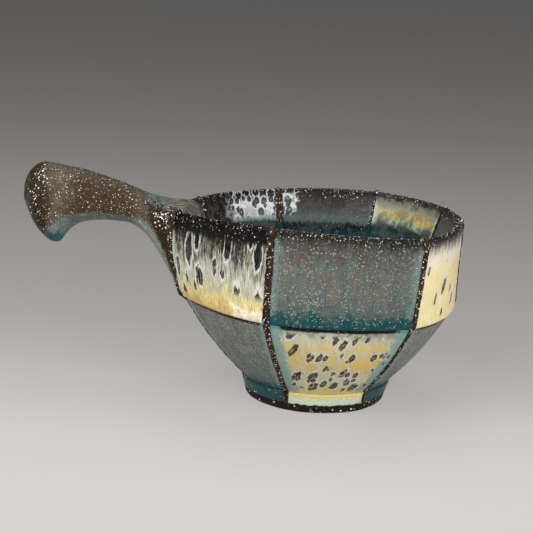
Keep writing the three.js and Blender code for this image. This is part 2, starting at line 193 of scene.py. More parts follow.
@dataclass
class WallShape:
    """The panelled wall: its sizes and the points on it."""

    foot_height: float = 10.0
    shoulder_height: float = 50.0
    rim_height: float = 93.0
    foot_base_radius: float = 35.0
    foot_top_radius: float = 37.4
    shoulder_radius: float = 66.3
    rim_radius: float = 69.0
    rim_thickness: float = 3.6
    wall_thickness: float = 7.5
    foot_wall_thickness: float = 6.2
    belly_depth: float = 14.0
    rim_roundness: float = 0.85
    shoulder_roundness: float = 1.0
    lower_roundness: float = 0.95
    inner_roundness: float = 1.1
    foot_roundness: float = 1.0
    scallop_dip: float = 0.3
    lip_overhang: float = 0.9
    lip_round: float = 1.5
    foot_ledge: float = 0.6
    lower_swell: float = 2.2
    lower_follow: float = 0.75
    joint_gap: float = 0.3
    wobble: float = 0.4
    wobble_size: float = 19.0
    fine_wobble: float = 0.35
    fine_wobble_size: float = 6.0
    seams: tuple[Seam, ...] = (
        Seam(-161.6, 6.2, 0.0, 3.4, 0.8, bead=1.2, knob=1.1, rim_girth=0.9, bead_turn=-1.5, bulge=2.6,
             low_girth=0.45, swell=0.5),
        Seam(-111.0, -5.5, 1.2, -0.6, 0.0, bead=1.3, swell=0.5),
        Seam(-49.6, 4.0, -1.1, 1.2, -1.2, bead=0.95),
        Seam(-4.0, -0.6, -0.3, 0.8, 0.2, bead=0.5, inner_bead=0.6),
        Seam(24.0, 1.5, -0.2, bead=0.9, inner_bead=0.7, swell=1.2),
        Seam(66.0, 3.0, 1.1, 0.5, inner_bead=0.6, swell=1.3),
        Seam(113.0, -1.0, 0.4, inner_bead=1.5),
        Seam(160.0, 1.6, -0.2, 1.5, 0.0, rim_girth=0.45, swell=0.9),
    )

    @property
    def rim_middle(self) -> float:
        """Height of the middle of the rounded rim."""
        return self.rim_height - self.rim_thickness / 2

    @property
    def belly_share(self) -> float:
        """Share of the upper wall's height where its inner face stops sloping."""
        return 1 - self.belly_depth / (self.rim_middle - self.shoulder_height)

    def pairs(self) -> list[tuple[Seam, Seam]]:
        """Seams on the two sides of each panel."""
        return list(zip(self.seams, self.seams[1:] + self.seams[:1]))

    def upper_outer(self, share: np.ndarray) -> Places:
        """Outer face of the upper wall.

        Args:
            share: Places from the shoulder (0) to the rim (1).

        Returns:
            Those places.
        """
        return Places(
            blend(self.shoulder_radius, self.rim_radius, share),
            blend(self.shoulder_height, self.rim_middle, share),
            blend(self.shoulder_roundness, self.rim_roundness, share),
            share, 1 - share, 1 - share, (1 - share) ** 2)

    def upper_inner(self, share: np.ndarray) -> Places:
        """Inner face of the upper wall.

        Args:
            share: Places from the shoulder (0) to the rim (1).

        Returns:
            Those places.
        """
        places = self.upper_outer(share)
        depth = np.clip((self.rim_middle - places.height) / self.belly_depth, 0, 1)
        thickness = blend(self.rim_thickness, self.wall_thickness, depth)
        return replace(places, radius=places.radius - thickness,
                       roundness=blend(self.inner_roundness, self.rim_roundness, share))

    def rim_arc(self, turn: np.ndarray) -> Places:
        """Rounded rim, from its outer side (0) to its inner side (1)."""
        half, angle = self.rim_thickness / 2, turn * math.pi
        return self.upper_outer(np.ones_like(turn)).moved(half * (np.cos(angle) - 1), half * np.sin(angle))

    def lip_arc(self, turn: np.ndarray) -> Places:
        """Rounded lower lip of an upper panel, from under it (0) to its outer face (1)."""
        size, angle, lowest = self.lip_round, turn * math.pi / 2, self.upper_outer(np.zeros_like(turn))
        return lowest.moved(size * (np.sin(angle) - 1), size * (1 - np.cos(angle)))

    def lower_outer(self, share: np.ndarray) -> Places:
        """Outer face of the lower wall.

        Args:
            share: Places from the foot (0) to the shoulder (1).

        Returns:
            Those places.
        """
        foot, shoulder = self.foot_top_radius - self.foot_ledge, self.shoulder_radius - self.lip_overhang
        return Places(
            blend(foot, shoulder, share) + self.lower_swell * crown(share),
            blend(self.foot_height, self.shoulder_height, share),
            blend(self.foot_roundness, self.lower_roundness, share),
            np.zeros_like(share), self.lower_follow * share, share, share ** 2)

    def lower_inner(self, share: np.ndarray) -> Places:
        """Inner face of the lower wall.

        Args:
            share: Places from the foot (0) to the shoulder (1).

        Returns:
            Those places.
        """
        thickness = blend(self.foot_wall_thickness - self.foot_ledge,
                          self.wall_thickness - self.lip_overhang, share)
        places = self.lower_outer(share)
        return replace(places, radius=places.radius - thickness,
                       roundness=blend(self.foot_roundness, self.inner_roundness, share))

    @staticmethod
    def seam_radius(places: Places, seam: Seam) -> np.ndarray:
        """Radii of places on a seam."""
        stray = places.rim_share * seam.rim_out + places.out_share * seam.shoulder_out
        return places.radius + stray + crown(places.rim_share) * seam.bulge

    @staticmethod
    def seam_height(places: Places, seam: Seam) -> np.ndarray:
        """Heights of places on a seam."""
        return places.height + places.rim_share * seam.rim_up + places.up_share * seam.shoulder_up

    def points(self, pair: tuple[Seam, Seam], places: Places, shares: np.ndarray) -> np.ndarray:
        """Points of a panel: the chord between its seams, bowed out by its roundness.

        Args:
            pair: The seams on its two sides.
            places: Places along its profile.
            shares: Places across it, 0 to 1.

        Returns:
            Points as an array of shares by places by three.
        """
        first, second = pair
        radii = [self.seam_radius(places, seam) for seam in pair]
        start = radii[0][:, None] * first.direction()
        chord = radii[1][:, None] * second.direction() - start
        outward = np.stack([chord[:, 1], -chord[:, 0]], axis=1)
        outward /= np.linalg.norm(outward, axis=1)[:, None]
        half_angle = math.acos(float(first.direction() @ second.direction())) / 2
        swell = blend(1.0, first.swell, (places.rim_share + places.up_share) ** 2)
        bow = swell * places.roundness * (radii[0] + radii[1]) / 2 * (1 - math.cos(half_angle))
        across = shares[:, None]
        arch = crown(across)
        plan = start + across[..., None] * chord + (arch * bow)[..., None] * outward
        height = blend(self.seam_height(places, first), self.seam_height(places, second), across)
        height = height - places.scallop * self.scallop_dip * arch
        return np.concatenate([plan, height[..., None]], axis=2)

    def by_hand(self, points: np.ndarray) -> np.ndarray:
        """Moves points of the wall in and out a little, as hands leave clay.

        Args:
            points: Points in an array that ends in three.

        Returns:
            The moved points in the same layout.
        """
        flat = points.reshape(-1, 3)
        shift = np.array([
            self.wobble * hand.noise(Vector(point) / self.wobble_size)
            + self.fine_wobble * self.wobble * hand.noise(Vector(point) / self.fine_wobble_size)
            for point in flat])
        plan = np.linalg.norm(flat[:, :2], axis=1)
        moved = flat.copy()
        moved[:, :2] += flat[:, :2] / np.maximum(plan, 1.0)[:, None] * shift[:, None]
        return moved.reshape(points.shape)


class Maker:
    """Makes mesh objects in the frame from points in millimetres about the bowl's axis."""

    def __init__(self) -> None:
        """Finds the bowl's axis from the foot ring of the frame."""
        low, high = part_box("foot_ring")
        self.axis = np.array([(low[0] + high[0]) / 2, (low[1] + high[1]) / 2, 0.0])

    def mesh(self, name: str, points: np.ndarray, faces: Faces, glaze: np.ndarray,
             sharp: float = 40.0) -> Piece:
        """Makes a smooth mesh object whose faces point outwards.

        Args:
            name: Name of the piece.
            points: Its points in millimetres.
            faces: Its faces.
            glaze: Three values at each point that its glaze reads.
            sharp: Angle in degrees past which an edge stays sharp.

        Returns:
            The object, linked to the scene.
        """
        data = bpy.data.meshes.new(name)
        data.from_pydata((points * MM + self.axis).tolist(), [], faces)
        layer = data.attributes.new("glaze", "FLOAT_VECTOR", "POINT")
        layer.data.foreach_set("vector", np.ascontiguousarray(glaze, dtype=np.float32).ravel())
        data.polygons.foreach_set("use_smooth", [True] * len(data.polygons))
        shell = bmesh.new()
        shell.from_mesh(data)
        if shell.calc_volume(signed=True) < 0:
            data.flip_normals()
        shell.free()
        data.set_sharp_from_angle(angle=math.radians(sharp))
        data.validate()
        return linked(name, data)

    @staticmethod
    def lofted(rows: int, count: int, ends: bool = True, ring: bool = False) -> Faces:
        """Faces over rows of closed sections.

        Args:
            rows: Number of sections.
            count: Points in each.
            ends: Whether the first and last section are filled.
            ring: Whether the last section joins the first.

        Returns:
            The faces.
        """
        faces = []
        for row in range(rows if ring else rows - 1):
            here, there = row * count, (row + 1) % rows * count
            for i in range(count):
                j = (i + 1) % count
                faces.append((here + i, here + j, there + j, there + i))
        if ends and not ring:
            faces.append(tuple(reversed(range(count))))
            faces.append(tuple(range((rows - 1) * count, rows * count)))
        return faces


def dress(piece: Piece, slot: Slot, materials: Sequence[Material], *nodes: str) -> None:
    """Gives a piece its materials and its body, hides the frame's nodes that it stands for, and logs its
    slot.

    Args:
        piece: The finished mesh object.
        slot: Its material slot.
        materials: Its materials in slot order, where it has none yet.
        *nodes: Nodes of the frame that it replaces.
    """
    for material in materials:
        piece.data.materials.append(material)
    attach(piece, "root")
    if nodes:
        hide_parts(*nodes)
    LOG.info("%s: %d faces, slot %s", piece.name, len(piece.data.polygons), slot.value)


# Glazes


def sum_of(operation: str, swapped: bool = False) -> Callable[["Value", "Value | float"], "Value"]:
    """Method that puts a value and another one through a node.

    Args:
        operation: What the node does.
        swapped: Whether the other one comes first.

    Returns:
        The method.
    """
    def method(self: "Value", other: "Value | float") -> "Value":
        """Result of the node."""
        return self.w.math(operation, other, self) if swapped else self.w.math(operation, self, other)
    return method


class Value:
    """A socket of a tree that takes part in sums. Each sum is a node of that tree."""

    __add__ = sum_of("ADD")
    __sub__ = sum_of("SUBTRACT")
    __rsub__ = sum_of("SUBTRACT", swapped=True)
    __mul__ = sum_of("MULTIPLY")
    __truediv__ = sum_of("DIVIDE")
    __rtruediv__ = sum_of("DIVIDE", swapped=True)
    __lt__ = sum_of("LESS_THAN")
    __or__ = sum_of("MAXIMUM")

    def __init__(self, w: "Wiring", socket: bpy.types.NodeSocket) -> None:
        """Keeps the socket and its wiring."""
        self.w = w
        self.socket = socket

    def fade(self, start: "Value | float", end: "Value | float") -> "Value":
        """Eased rise from 0 at start to 1 at end."""
        return self.w.value("ShaderNodeMapRange", {"interpolation_type": "SMOOTHSTEP"},
                            {"Value": self, "From Min": start, "From Max": end})

    def zone(self, low: float, high: float, soft: float) -> "Value":
        """Mask of the values between two limits, with soft edges."""
        return self.fade(low - soft, low + soft) * self.fade(high + soft, high - soft)


Term = Value | float
Paint = Value | Colour


class Wiring:
    """Short hand for the nodes of one tree."""

    def __init__(self, tree: NodeTree) -> None:
        """Keeps the tree that the nodes go into."""
        self.tree = tree

    def node(self, kind: str, settings: Settings = None, inputs: Inputs = None) -> bpy.types.Node:
        """Adds a node.

        Args:
            kind: Its type.
            settings: Its properties.
            inputs: Constants or values for its inputs, by name or number.

        Returns:
            The node.
        """
        made = self.tree.nodes.new(kind)
        for key, setting in (settings or {}).items():
            setattr(made, key, setting)
        for key, given in (inputs or {}).items():
            if isinstance(given, Value):
                self.tree.links.new(given.socket, made.inputs[key])
            else:
                made.inputs[key].default_value = given
        return made

    def value(self, kind: str, settings: Settings = None, inputs: Inputs = None,
              output: str | int = 0) -> Value:
        """One output of a new node."""
        return Value(self, self.node(kind, settings, inputs).outputs[output])

    def values(self, kind: str, settings: Settings = None, inputs: Inputs = None) -> list[Value]:
        """All outputs of a new node."""
        return [Value(self, socket) for socket in self.node(kind, settings, inputs).outputs]

    def math(self, operation: str, first: Term, second: Term) -> Value:
        """Result of a sum on two values."""
        return self.value("ShaderNodeMath", {"operation": operation}, {0: first, 1: second})

    def mix(self, share: Term, first: Paint, second: Paint) -> Value:
        """Colour between two colours."""
        return self.value("ShaderNodeMix", {"data_type": "RGBA"}, {0: share, 6: first, 7: second}, 2)

    def ramp(self, share: Value, stops: Sequence[tuple[float, Colour]]) -> Value:
        """Colour along a row of stops.

        Args:
            share: Place along the row, 0 to 1.
            stops: Places and colours.

        Returns:
            The colour.
        """
        made = self.node("ShaderNodeValToRGB", None, {0: share})
        elements = made.color_ramp.elements
        while len(elements) < len(stops):
            elements.new(0.5)
        for element, (place, colour) in zip(elements, stops):
            element.position = place
            element.color = colour
        return Value(self, made.outputs[0])

    def noise(self, vector: Value, size: float, detail: float = 2.0, roughness: float = 0.55) -> Value:
        """Cloudy value of a set size."""
        return self.value("ShaderNodeTexNoise", None, {
            "Vector": vector, "Scale": 1 / size, "Detail": detail, "Roughness": roughness})

    def cells(self, dimensions: str, **inputs: Term) -> tuple[Value, list[Value]]:
        """Cells that share out a surface.

        Args:
            dimensions: 2D or 3D.
            **inputs: Inputs of the cells.

        Returns:
            The distance from a cell's middle, and three values by chance for each cell.
        """
        made = self.node("ShaderNodeTexVoronoi", {"voronoi_dimensions": dimensions}, inputs).outputs
        shade = self.values("ShaderNodeSeparateColor", None, {0: Value(self, made["Color"])})
        return Value(self, made["Distance"]), shade

    def join(self, x: Term, y: Term, z: Term = 0.0) -> Value:
        """Vector of three values."""
        return self.value("ShaderNodeCombineXYZ", None, {0: x, 1: y, 2: z})

    def split(self, vector: Value) -> list[Value]:
        """The three values of a vector."""
        return self.values("ShaderNodeSeparateXYZ", None, {0: vector})

    def scaled(self, vector: Value, scale: Term) -> Value:
        """A vector made longer or shorter."""
        return self.value("ShaderNodeVectorMath", {"operation": "SCALE"}, {0: vector, "Scale": scale})

    def place_mm(self) -> Value:
        """Place on the object in millimetres."""
        return self.scaled(self.value("ShaderNodeTexCoord", output="Object"), 1 / MM)


class Group(Wiring):
    """Wiring of a node group with named inputs and outputs."""

    KIND = "Shader"
    RESULT = "Float"

    def __init__(self, name: str, outputs: Sequence[str], **inputs: float | str) -> None:
        """Starts a group.

        Args:
            name: Its name.
            outputs: Names of its outputs.
            **inputs: Its inputs, each with a usual number, or with its kind where it has none.
        """
        super().__init__(bpy.data.node_groups.new(name, f"{self.KIND}NodeTree"))
        self.identifiers: dict[str, str] = {}
        for key, usual in inputs.items():
            numeric = not isinstance(usual, str)
            label = type(usual).__name__.capitalize() if numeric else usual
            socket = self.socket(key, "INPUT", label)
            if numeric:
                socket.default_value = usual
            self.identifiers[key] = socket.identifier
        for key in outputs:
            self.socket(key, "OUTPUT", self.RESULT)
        entry = self.node("NodeGroupInput").outputs
        self.given = {key: Value(self, entry[key]) for key in inputs}

    def socket(self, name: str, side: str, kind: str) -> bpy.types.NodeTreeInterfaceSocket:
        """A new socket of the group's interface."""
        return self.tree.interface.new_socket(name, in_out=side, socket_type=f"NodeSocket{kind}")

    def end(self, *results: Value) -> NodeTree:
        """Puts out the results, and gives back the group."""
        self.node("NodeGroupOutput", None, dict(enumerate(results)))
        return self.tree


class Effects:
    """Shared glaze effects, each a node group that is built once. Their sizes are millimetres."""

    def __init__(self) -> None:
        """Builds the groups."""
        self.specks = self.bright_specks()
        self.runs = self.long_runs()
        self.spots = self.dark_spots()
        self.margin = self.seam_margin()
        self.mottle = self.fired_mottle()

    def bright_specks(self) -> NodeTree:
        """Small uneven bright crystals, in a share of the places.

        Returns:
            The group.
        """
        w = Group("glaze_specks", ["Mask"], Place="Vector", Spacing=2.0, Size=0.5, Share=0.5)
        place, spacing, radius, share = w.given.values()
        scale = 1.0 / spacing
        distance, shade = w.cells("3D", Vector=place, Scale=scale)
        size = radius * scale * (shade[1] + 0.45)
        ragged = (w.noise(place, 0.5, 1.0) - 0.5) * (size * 1.3)
        inside = (distance + ragged).fade(size, size * 0.5)
        return w.end(inside * (shade[0] < share) * (shade[2] * 0.45 + 0.55))

    def long_runs(self) -> NodeTree:
        """Streaks of glaze that ran downwards, with a value that is even along each.

        Returns:
            The group.
        """
        w = Group("glaze_runs", ["Value"], Across=0.0, Down=0.0, Width=1.5, Length=14.0, Seed=0.0)
        across, down, width, length, seed = w.given.values()
        bend = w.noise(w.join(across, down * 0.6, seed), 5.0, 1.0)
        wavy = across + (bend - 0.5) * 2.6
        return w.end(w.noise(w.join(wavy / width, down / length, seed), 1.0, 3.0, 0.6))

    def dark_spots(self) -> NodeTree:
        """Dark spots with pale halos, drawn out downwards and leaning.

        Returns:
            The group.
        """
        w = Group("glaze_spots", ["Core", "Halo"], Across=0.0, Down=0.0, Spacing=7.0, Stretch=1.5, Size=0.25,
                  Share=0.5, Lean=0.0, Seed=0.0)
        across, down, spacing, stretch, radius, share, lean, seed = w.given.values()
        place = w.join((across + down * lean) / spacing, seed + down / spacing / stretch)
        bend = w.noise(place, 0.26, 3.0, 0.65)
        distance, shade = w.cells("2D", Vector=place, Scale=1.0, Randomness=0.95)
        distance = distance + (bend - 0.5) * 0.5
        size = radius * (shade[1] * 0.75 + 0.55)
        there = shade[0] < share
        core = distance.fade(size, size * 0.75)
        hollow = distance.fade(size * 0.4, size * 0.15) * shade[2]
        halo = distance.fade(size * 1.4, size * 0.95) - core
        return w.end(core * (1.0 - hollow * 0.4) * there, halo * there)

    def seam_margin(self) -> NodeTree:
        """Band beside a seam, with an uneven edge.

        Returns:
            The group.
        """
        w = Group("seam_margin", ["Mask"], Place="Vector", Edge=0.0, Width=3.0, Core=0.1)
        place, edge, usual, core = w.given.values()
        width = usual * ((w.noise(place, 2.6, 3.0) - 0.5) * 1.3 + 1.0)
        return w.end(edge.fade(width, width * core))

    def fired_mottle(self) -> NodeTree:
        """Broad clouds and a fine grain of a fired glaze.

        Returns:
            The group.
        """
        w = Group("glaze_mottle", ["Broad", "Fine"], Place="Vector", Size=8.0)
        place, size = w.given.values()
        broad = w.noise(w.scaled(place, 1.0 / size), 1.0, 3.0, 0.6)
        fine = w.noise(place, 0.75, 2.0, 0.65)
        return w.end(broad.fade(0.33, 0.67), fine.fade(0.3, 0.7))


@dataclass(frozen=True)
class Gloss:
    """How a glaze shines: roughness where it lies smooth and rough, and strength of its relief."""

    smooth: float = 0.14
    rough: float = 0.32
    relief: float = 0.35


class Surface(Wiring):
    """Wiring of a glaze's material, in which colours are laid over each other."""

    RELIEF_DEPTH = 0.0006
    IOR = 1.5
    SPECULAR = 0.14

    def __init__(self, tree: NodeTree, effects: Effects) -> None:
        """Keeps the tree and the shared effects, and reads the place on the object."""
        super().__init__(tree)
        self.effects = effects
        self.place = self.place_mm()
        self.colour: Paint = WHITE_SPECK

    def over(self, share: Term, colour: Paint) -> None:
        """Lays a colour over those so far."""
        self.colour = self.mix(share, self.colour, colour)

    def fire(self, rough: Value, height: Value, gloss: Gloss) -> None:
        """Ends the material in a shader of the colours so far.

        Args:
            rough: Where it lies rough.
            height: Its small relief.
            gloss: How it shines.
        """
        roughness = self.value("ShaderNodeMapRange", None, {
            "Value": rough, "To Min": gloss.smooth, "To Max": gloss.rough})
        bump = self.value("ShaderNodeBump", None, {
            "Height": height, "Strength": gloss.relief, "Distance": self.RELIEF_DEPTH})
        shader = self.value("ShaderNodeBsdfPrincipled", None, {
            "Base Color": self.colour, "Roughness": roughness, "Normal": bump, "IOR": self.IOR,
            "Specular IOR Level": self.SPECULAR})
        self.node("ShaderNodeOutputMaterial", None, {0: shader})

    def glaze_values(self) -> list[Value]:
        """The three values that a piece's mesh keeps for its glaze."""
        return self.split(self.value("ShaderNodeAttribute", {"attribute_name": "glaze"}, output="Vector"))

    def effect(self, tree: NodeTree, **inputs: Term) -> list[Value]:
        """Outputs of a shared effect with its own values."""
        return self.values("ShaderNodeGroup", {"node_tree": tree}, inputs)

    def mottle(self, size: float) -> list[Value]:
        """Broad clouds of a size, and fine grain."""
        return self.effect(self.effects.mottle, Place=self.place, Size=size)

    def specks(self, spacing: float, size: float, share: Term) -> Value:
        """Specks of a size, in a share of the places."""
        given = {"Spacing": spacing, "Size": size, "Share": share}
        return self.effect(self.effects.specks, Place=self.place, **given)[0]

    def runs(self, across: Value, down: Value, size: Span, seed: float) -> Value:
        """Streaks of a width and length."""
        given = {"Width": size[0], "Length": size[1], "Seed": seed}
        return self.effect(self.effects.runs, Across=across, Down=down, **given)[0]

    def margin(self, edge: Value, width: float, core: float = 0.1) -> Value:
        """Band beside a seam, with the share of its width that it covers fully."""
        return self.effect(self.effects.margin, Place=self.place, Edge=edge, Width=width, Core=core)[0]


class Face(Surface):
    """Wiring of the glaze on a panel's face.

    The place across begins at a step of its own for each panel, down is measured from its top edge, and edge
    from the nearer seam. Broad, ripple and fine are clouds, from large to small.
    """

    def __init__(self, tree: NodeTree, effects: Effects) -> None:
        """Reads the face."""
        super().__init__(tree, effects)
        self.across, self.down, self.edge = self.glaze_values()
        self.broad, self.fine = self.mottle(8.0)
        self.ripple = self.mottle(3.2)[0]

    def streaks(self, size: Span, seed: float) -> Value:
        """Streaks down the face."""
        return self.runs(self.across, self.down, size, seed)


class Grip(Surface):
    """Wiring of the handle's glaze.

    Reach is the distance from the bowl's axis, along is the same with a straying edge, and tipped is the same
    on the slant of the end. Ragged is the height over the keel, -1 to 1, with a ragged edge.
    """

    def __init__(self, tree: NodeTree, effects: Effects) -> None:
        """Reads the handle."""
        super().__init__(tree, effects)
        self.reach, rise, self.level = self.glaze_values()
        self.broad, self.fine = self.mottle(11.0)
        self.small = self.mottle(2.4)[0]
        self.lines = self.runs(self.split(self.place)[1] + self.level, self.reach, (0.8, 4.5), 5.0)
        self.drift = (self.small - 0.5) * 3.0
        self.along = self.reach + self.drift
        self.ragged = rise + (self.small + self.fine * 0.6 - 0.8) * 0.16
        self.tipped = self.reach - self.level * 0.25


def new_material(name: str) -> Material:
    """An empty node material.

    Args:
        name: Its name.

    Returns:
        The material.
    """
    material = bpy.data.materials.new(name)
    material.use_nodes = True
    material.node_tree.nodes.clear()
    return material


class Glaze:
    """A finish that makes one material."""

    SURFACE = Surface
    name: str

    def lay(self, w: Surface) -> None:
        """Lays the glaze."""
        raise NotImplementedError

    def build(self, effects: Effects) -> Material:
        """Makes the material.

        Args:
            effects: The shared effects.

        Returns:
            The material.
        """
        material = new_material(self.name)
        self.lay(self.SURFACE(material.node_tree, effects))
        return material


WHITE_SPECK = tint(253, 251, 245)
PALE_SPECK = tint(170, 170, 158)
SPOT_DARK = tint(16, 12, 13)
PALE_STROKE = tint(228, 230, 222)
DARK_STROKE = tint(38, 33, 31)
DARK_GRAIN = tint(30, 26, 24)
PALE_GRAIN = tint(200, 200, 188)
# Dark of the painted shade from the handle's root, laid over dark glaze
SHADE_AND_DARK_GLAZE = tint(30, 24, 21)


@dataclass(frozen=True)
class Spots:
    """Dark spots on a panel's glaze, from a start to an end down it.

    The size is a share of the spacing. They lie beyond a place across the panel, and clear of its seams.
    """

    start: float
    end: float
    spacing: float
    stretch: float
    size: float
    share: float
    lean: float = 0.0
    beyond: float = -10.0
    clear: float = 1.2


@dataclass(frozen=True)
class PanelGlaze(Glaze):
    """Glaze of one face of a panel, in bands that run into each other down the wall.

    Bands, starts and ends are distances down from the panel's top edge. The pale patch and the painted shade
    lie past a place across it. The pale patch is pale glaze on some panels and a painted highlight on others,
    and the painted shade, from the handle's root, lies over dark glaze. Clouds and streaks keep clear of the
    dark top, and the bands turn from streaky to cloudy at cloud_from. Specks are the shares of places with
    one near the top and lower down. Hair, drip, grit and frost are the strengths of fine strokes, dark drips,
    dark grain and pale grain.
    """

    SURFACE = Face
    LINES = (0.5, 9.0)
    STRANDS = (0.62, 7.0)
    DRIPS = (2.7, 40.0)
    name: str
    bands: tuple[tuple[float, Colour], ...]
    cloud: Colour
    cloud_share: float
    streak: Colour
    streak_share: float
    feather: float
    margin: Colour
    margin_width: float
    margin_core: float = 0.1
    margin_over: bool = False
    margin_end: float = 100.0
    spots: tuple[Spots, ...] = ()
    halo: Colour = tint(226, 228, 220)
    specks: Span = (0.5, 0.1)
    speck_end: float = 12.0
    speck_size: float = 0.34
    run: Span = (1.5, 22.0)
    foot: Colour = tint(190, 206, 198)
    foot_from: float = 60.0
    foot_fade: float = 2.8
    dusk_from: float = 1000.0
    patch: Colour = tint(222, 224, 224)
    patch_from: float = 1000.0
    patch_start: float = 2.5
    patch_end: float = 14.0
    dark_end: float = 4.0
    dark_fade: float = 6.0
    cloud_from: float = 20.0
    hair: float = 0.0
    drip: float = 0.0
    drip_end: float = 30.0
    grit: float = 0.12
    frost: float = 0.1
    gloss: Gloss = Gloss()
    number: int = 1
    seed: float = 0.0
    reach: float = 52.0

    def on(self, number: int, seed: float, effects: Effects) -> Material:
        """The material of this glaze on one panel."""
        return replace(self, name=f"{self.name}_{seed:.0f}", number=number, seed=seed).build(effects)

    def past(self, across: Value, limit: float, soft: float) -> Value:
        """Mask of what lies past a place across the panel."""
        start = PANEL_STEP * self.number + limit
        return across.fade(start, start + soft)

    def banded(self, w: Face) -> Value:
        """Lays bands that run into each other, with clouds, fine streaks and margins.

        Args:
            w: Wiring of the material.

        Returns:
            How far down the glaze has settled.
        """
        down = w.down
        runs = w.streaks(self.run, self.seed)
        lines = w.streaks(self.LINES, self.seed + 3)
        streaky = (runs * 0.8 + lines * 0.75 - 0.77) * (3.4 * self.feather)
        cloudy = (w.broad + w.ripple * 0.7 - 0.85) * (1.7 * self.feather)
        lowness = down.fade(self.cloud_from, self.cloud_from + 8.0)
        shift = streaky * (1.0 - lowness) + cloudy * lowness
        settled = down + shift * down.fade(0.5, 4.5)
        stops = [(min(1.0, mm / self.reach), shade) for mm, shade in self.bands]
        w.colour = w.ramp(settled / self.reach, stops)
        body = settled.fade(self.dark_end, self.dark_end + self.dark_fade)
        clouds = (w.broad + w.ripple).fade(0.5, 1.5)
        w.over(clouds * self.cloud_share * body, self.cloud)
        w.over(lines.fade(0.46, 0.68) * self.streak_share * body, self.streak)
        band = w.margin(w.edge, self.margin_width, self.margin_core)
        if not self.margin_over:
            band = band * body
        w.over(band * down.fade(self.margin_end + 2.0, self.margin_end - 2.0) * 0.85, self.margin)
        return settled

    def streaked(self, w: Face) -> None:
        """Lays the strokes and drips below the dark top.

        Args:
            w: Wiring of the material.
        """
        down = w.down
        if self.hair > 0:
            strands = w.streaks(self.STRANDS, self.seed + 5)
            zone = down.fade(8.0, 15.0) * down.fade(36.0, 24.0) * self.hair
            w.over(strands.fade(0.45, 0.36) * zone, PALE_STROKE)
            w.over(strands.fade(0.54, 0.62) * zone, DARK_STROKE)
        if self.drip > 0:
            taper = down * (0.17 / self.drip_end) + w.fine * 0.035
            drips = (w.streaks(self.DRIPS, self.seed + 7) - taper).fade(0.40, 0.46)
            w.over(drips * down.fade(self.drip_end, self.drip_end - 9.0) * self.drip, SPOT_DARK)

    def edged(self, w: Face, settled: Value) -> None:
        """Lays the lower edge, the pale patch and the grain. The pale patch is pale glaze on some panels and
        a painted highlight on others.

        Args:
            w: Wiring of the material.
            settled: How far down the glaze has settled.
        """
        low = settled + (w.fine + w.ripple - 1.0) * 1.2
        w.over(low.fade(self.foot_from, self.foot_from + self.foot_fade), self.foot)
        # Pale patch: pale glaze on some panels, a painted highlight on others
        patch = self.past(w.across + w.ripple * 5.0, self.patch_from, 4.0)
        patch = patch * settled.fade(self.patch_start, self.patch_start + 2.5)
        patch = patch * settled.fade(self.patch_end, self.patch_end - 3.0)
        w.over(patch * (w.ripple * 0.6 + 0.35), self.patch)
        w.over(w.fine.fade(0.5, 1.0) * self.grit, DARK_GRAIN)
        w.over(w.specks(0.95, 0.34, 0.55) * self.frost, PALE_GRAIN)

    def spotted(self, w: Face) -> Term:
        """Lays the dark spots.

        Args:
            w: Wiring of the material.

        Returns:
            Where they lie.
        """
        sunk: Term = 0.0
        for i, spots in enumerate(self.spots):
            core, halo = w.effect(
                w.effects.spots, Across=w.across, Down=w.down, Spacing=spots.spacing, Stretch=spots.stretch,
                Size=spots.size, Share=spots.share, Lean=spots.lean, Seed=self.seed + 0.37 * i)
            zone = w.down.fade(spots.start - 2, spots.start + 1) * w.down.fade(spots.end + 1, spots.end - 2)
            zone = zone * w.edge.fade(spots.clear, spots.clear + 1.6) * self.past(w.across, spots.beyond, 1.0)
            w.over(halo * zone * 0.8, self.halo)
            centre = core * zone
            w.over(centre * (1.0 - w.fine * 0.25), SPOT_DARK)
            sunk = centre + sunk
        return sunk

    def lay(self, w: Face) -> None:
        """Lays the glaze.

        Args:
            w: Wiring of the material.
        """
        settled = self.banded(w)
        self.streaked(w)
        self.edged(w, settled)
        sunk = self.spotted(w)
        top, lower = self.specks
        dense = w.down.fade(self.speck_end, self.speck_end * 0.4)
        share = dense * (top - lower) + lower
        small = w.specks(1.1, 0.75 * self.speck_size, share)
        white = w.specks(1.9, self.speck_size, share) | small * 0.8
        # Painted shade from the handle's root, over dark glaze, past a place across the panel
        w.over(self.past(w.across + w.ripple * 5.0, self.dusk_from, 7.0) * 0.95, SHADE_AND_DARK_GLAZE)
        w.over(white, w.mix(dense, PALE_SPECK, WHITE_SPECK))
        height = w.fine * 0.35 + w.broad * 0.5 - sunk * 0.5 + white * 0.5
        w.fire(w.fine * 0.5 + w.broad * 0.5, height, self.gloss)


@dataclass(frozen=True)
class BeadGlaze(Glaze):
    """Dark brown glaze on the joint strips, thick with white specks, teal where they are pooled over."""

    name: str = "brown_joint"
    body: Colour = tint(38, 26, 15)
    light: Colour = tint(74, 52, 27)
    dark: Colour = tint(14, 9, 6)
    teal: Colour = tint(16, 56, 60)
    speck_share: float = 0.6

    def lay(self, w: Surface) -> None:
        """Lays the glaze.

        Args:
            w: Wiring of the material.
        """
        broad, fine = w.mottle(4.0)
        w.colour = w.mix(broad, self.body, self.light)
        w.over(fine * 0.65, self.dark)
        pooled = w.value("ShaderNodeAttribute", {"attribute_name": "pooled"}, output="Fac")
        w.over(pooled * 0.9, self.teal)
        specks = w.specks(1.5, 0.42, (1.0 - pooled) * self.speck_share)
        w.over(specks, WHITE_SPECK)
        w.fire(broad, fine * 0.6 + specks, Gloss(0.2, 0.4, 0.5))


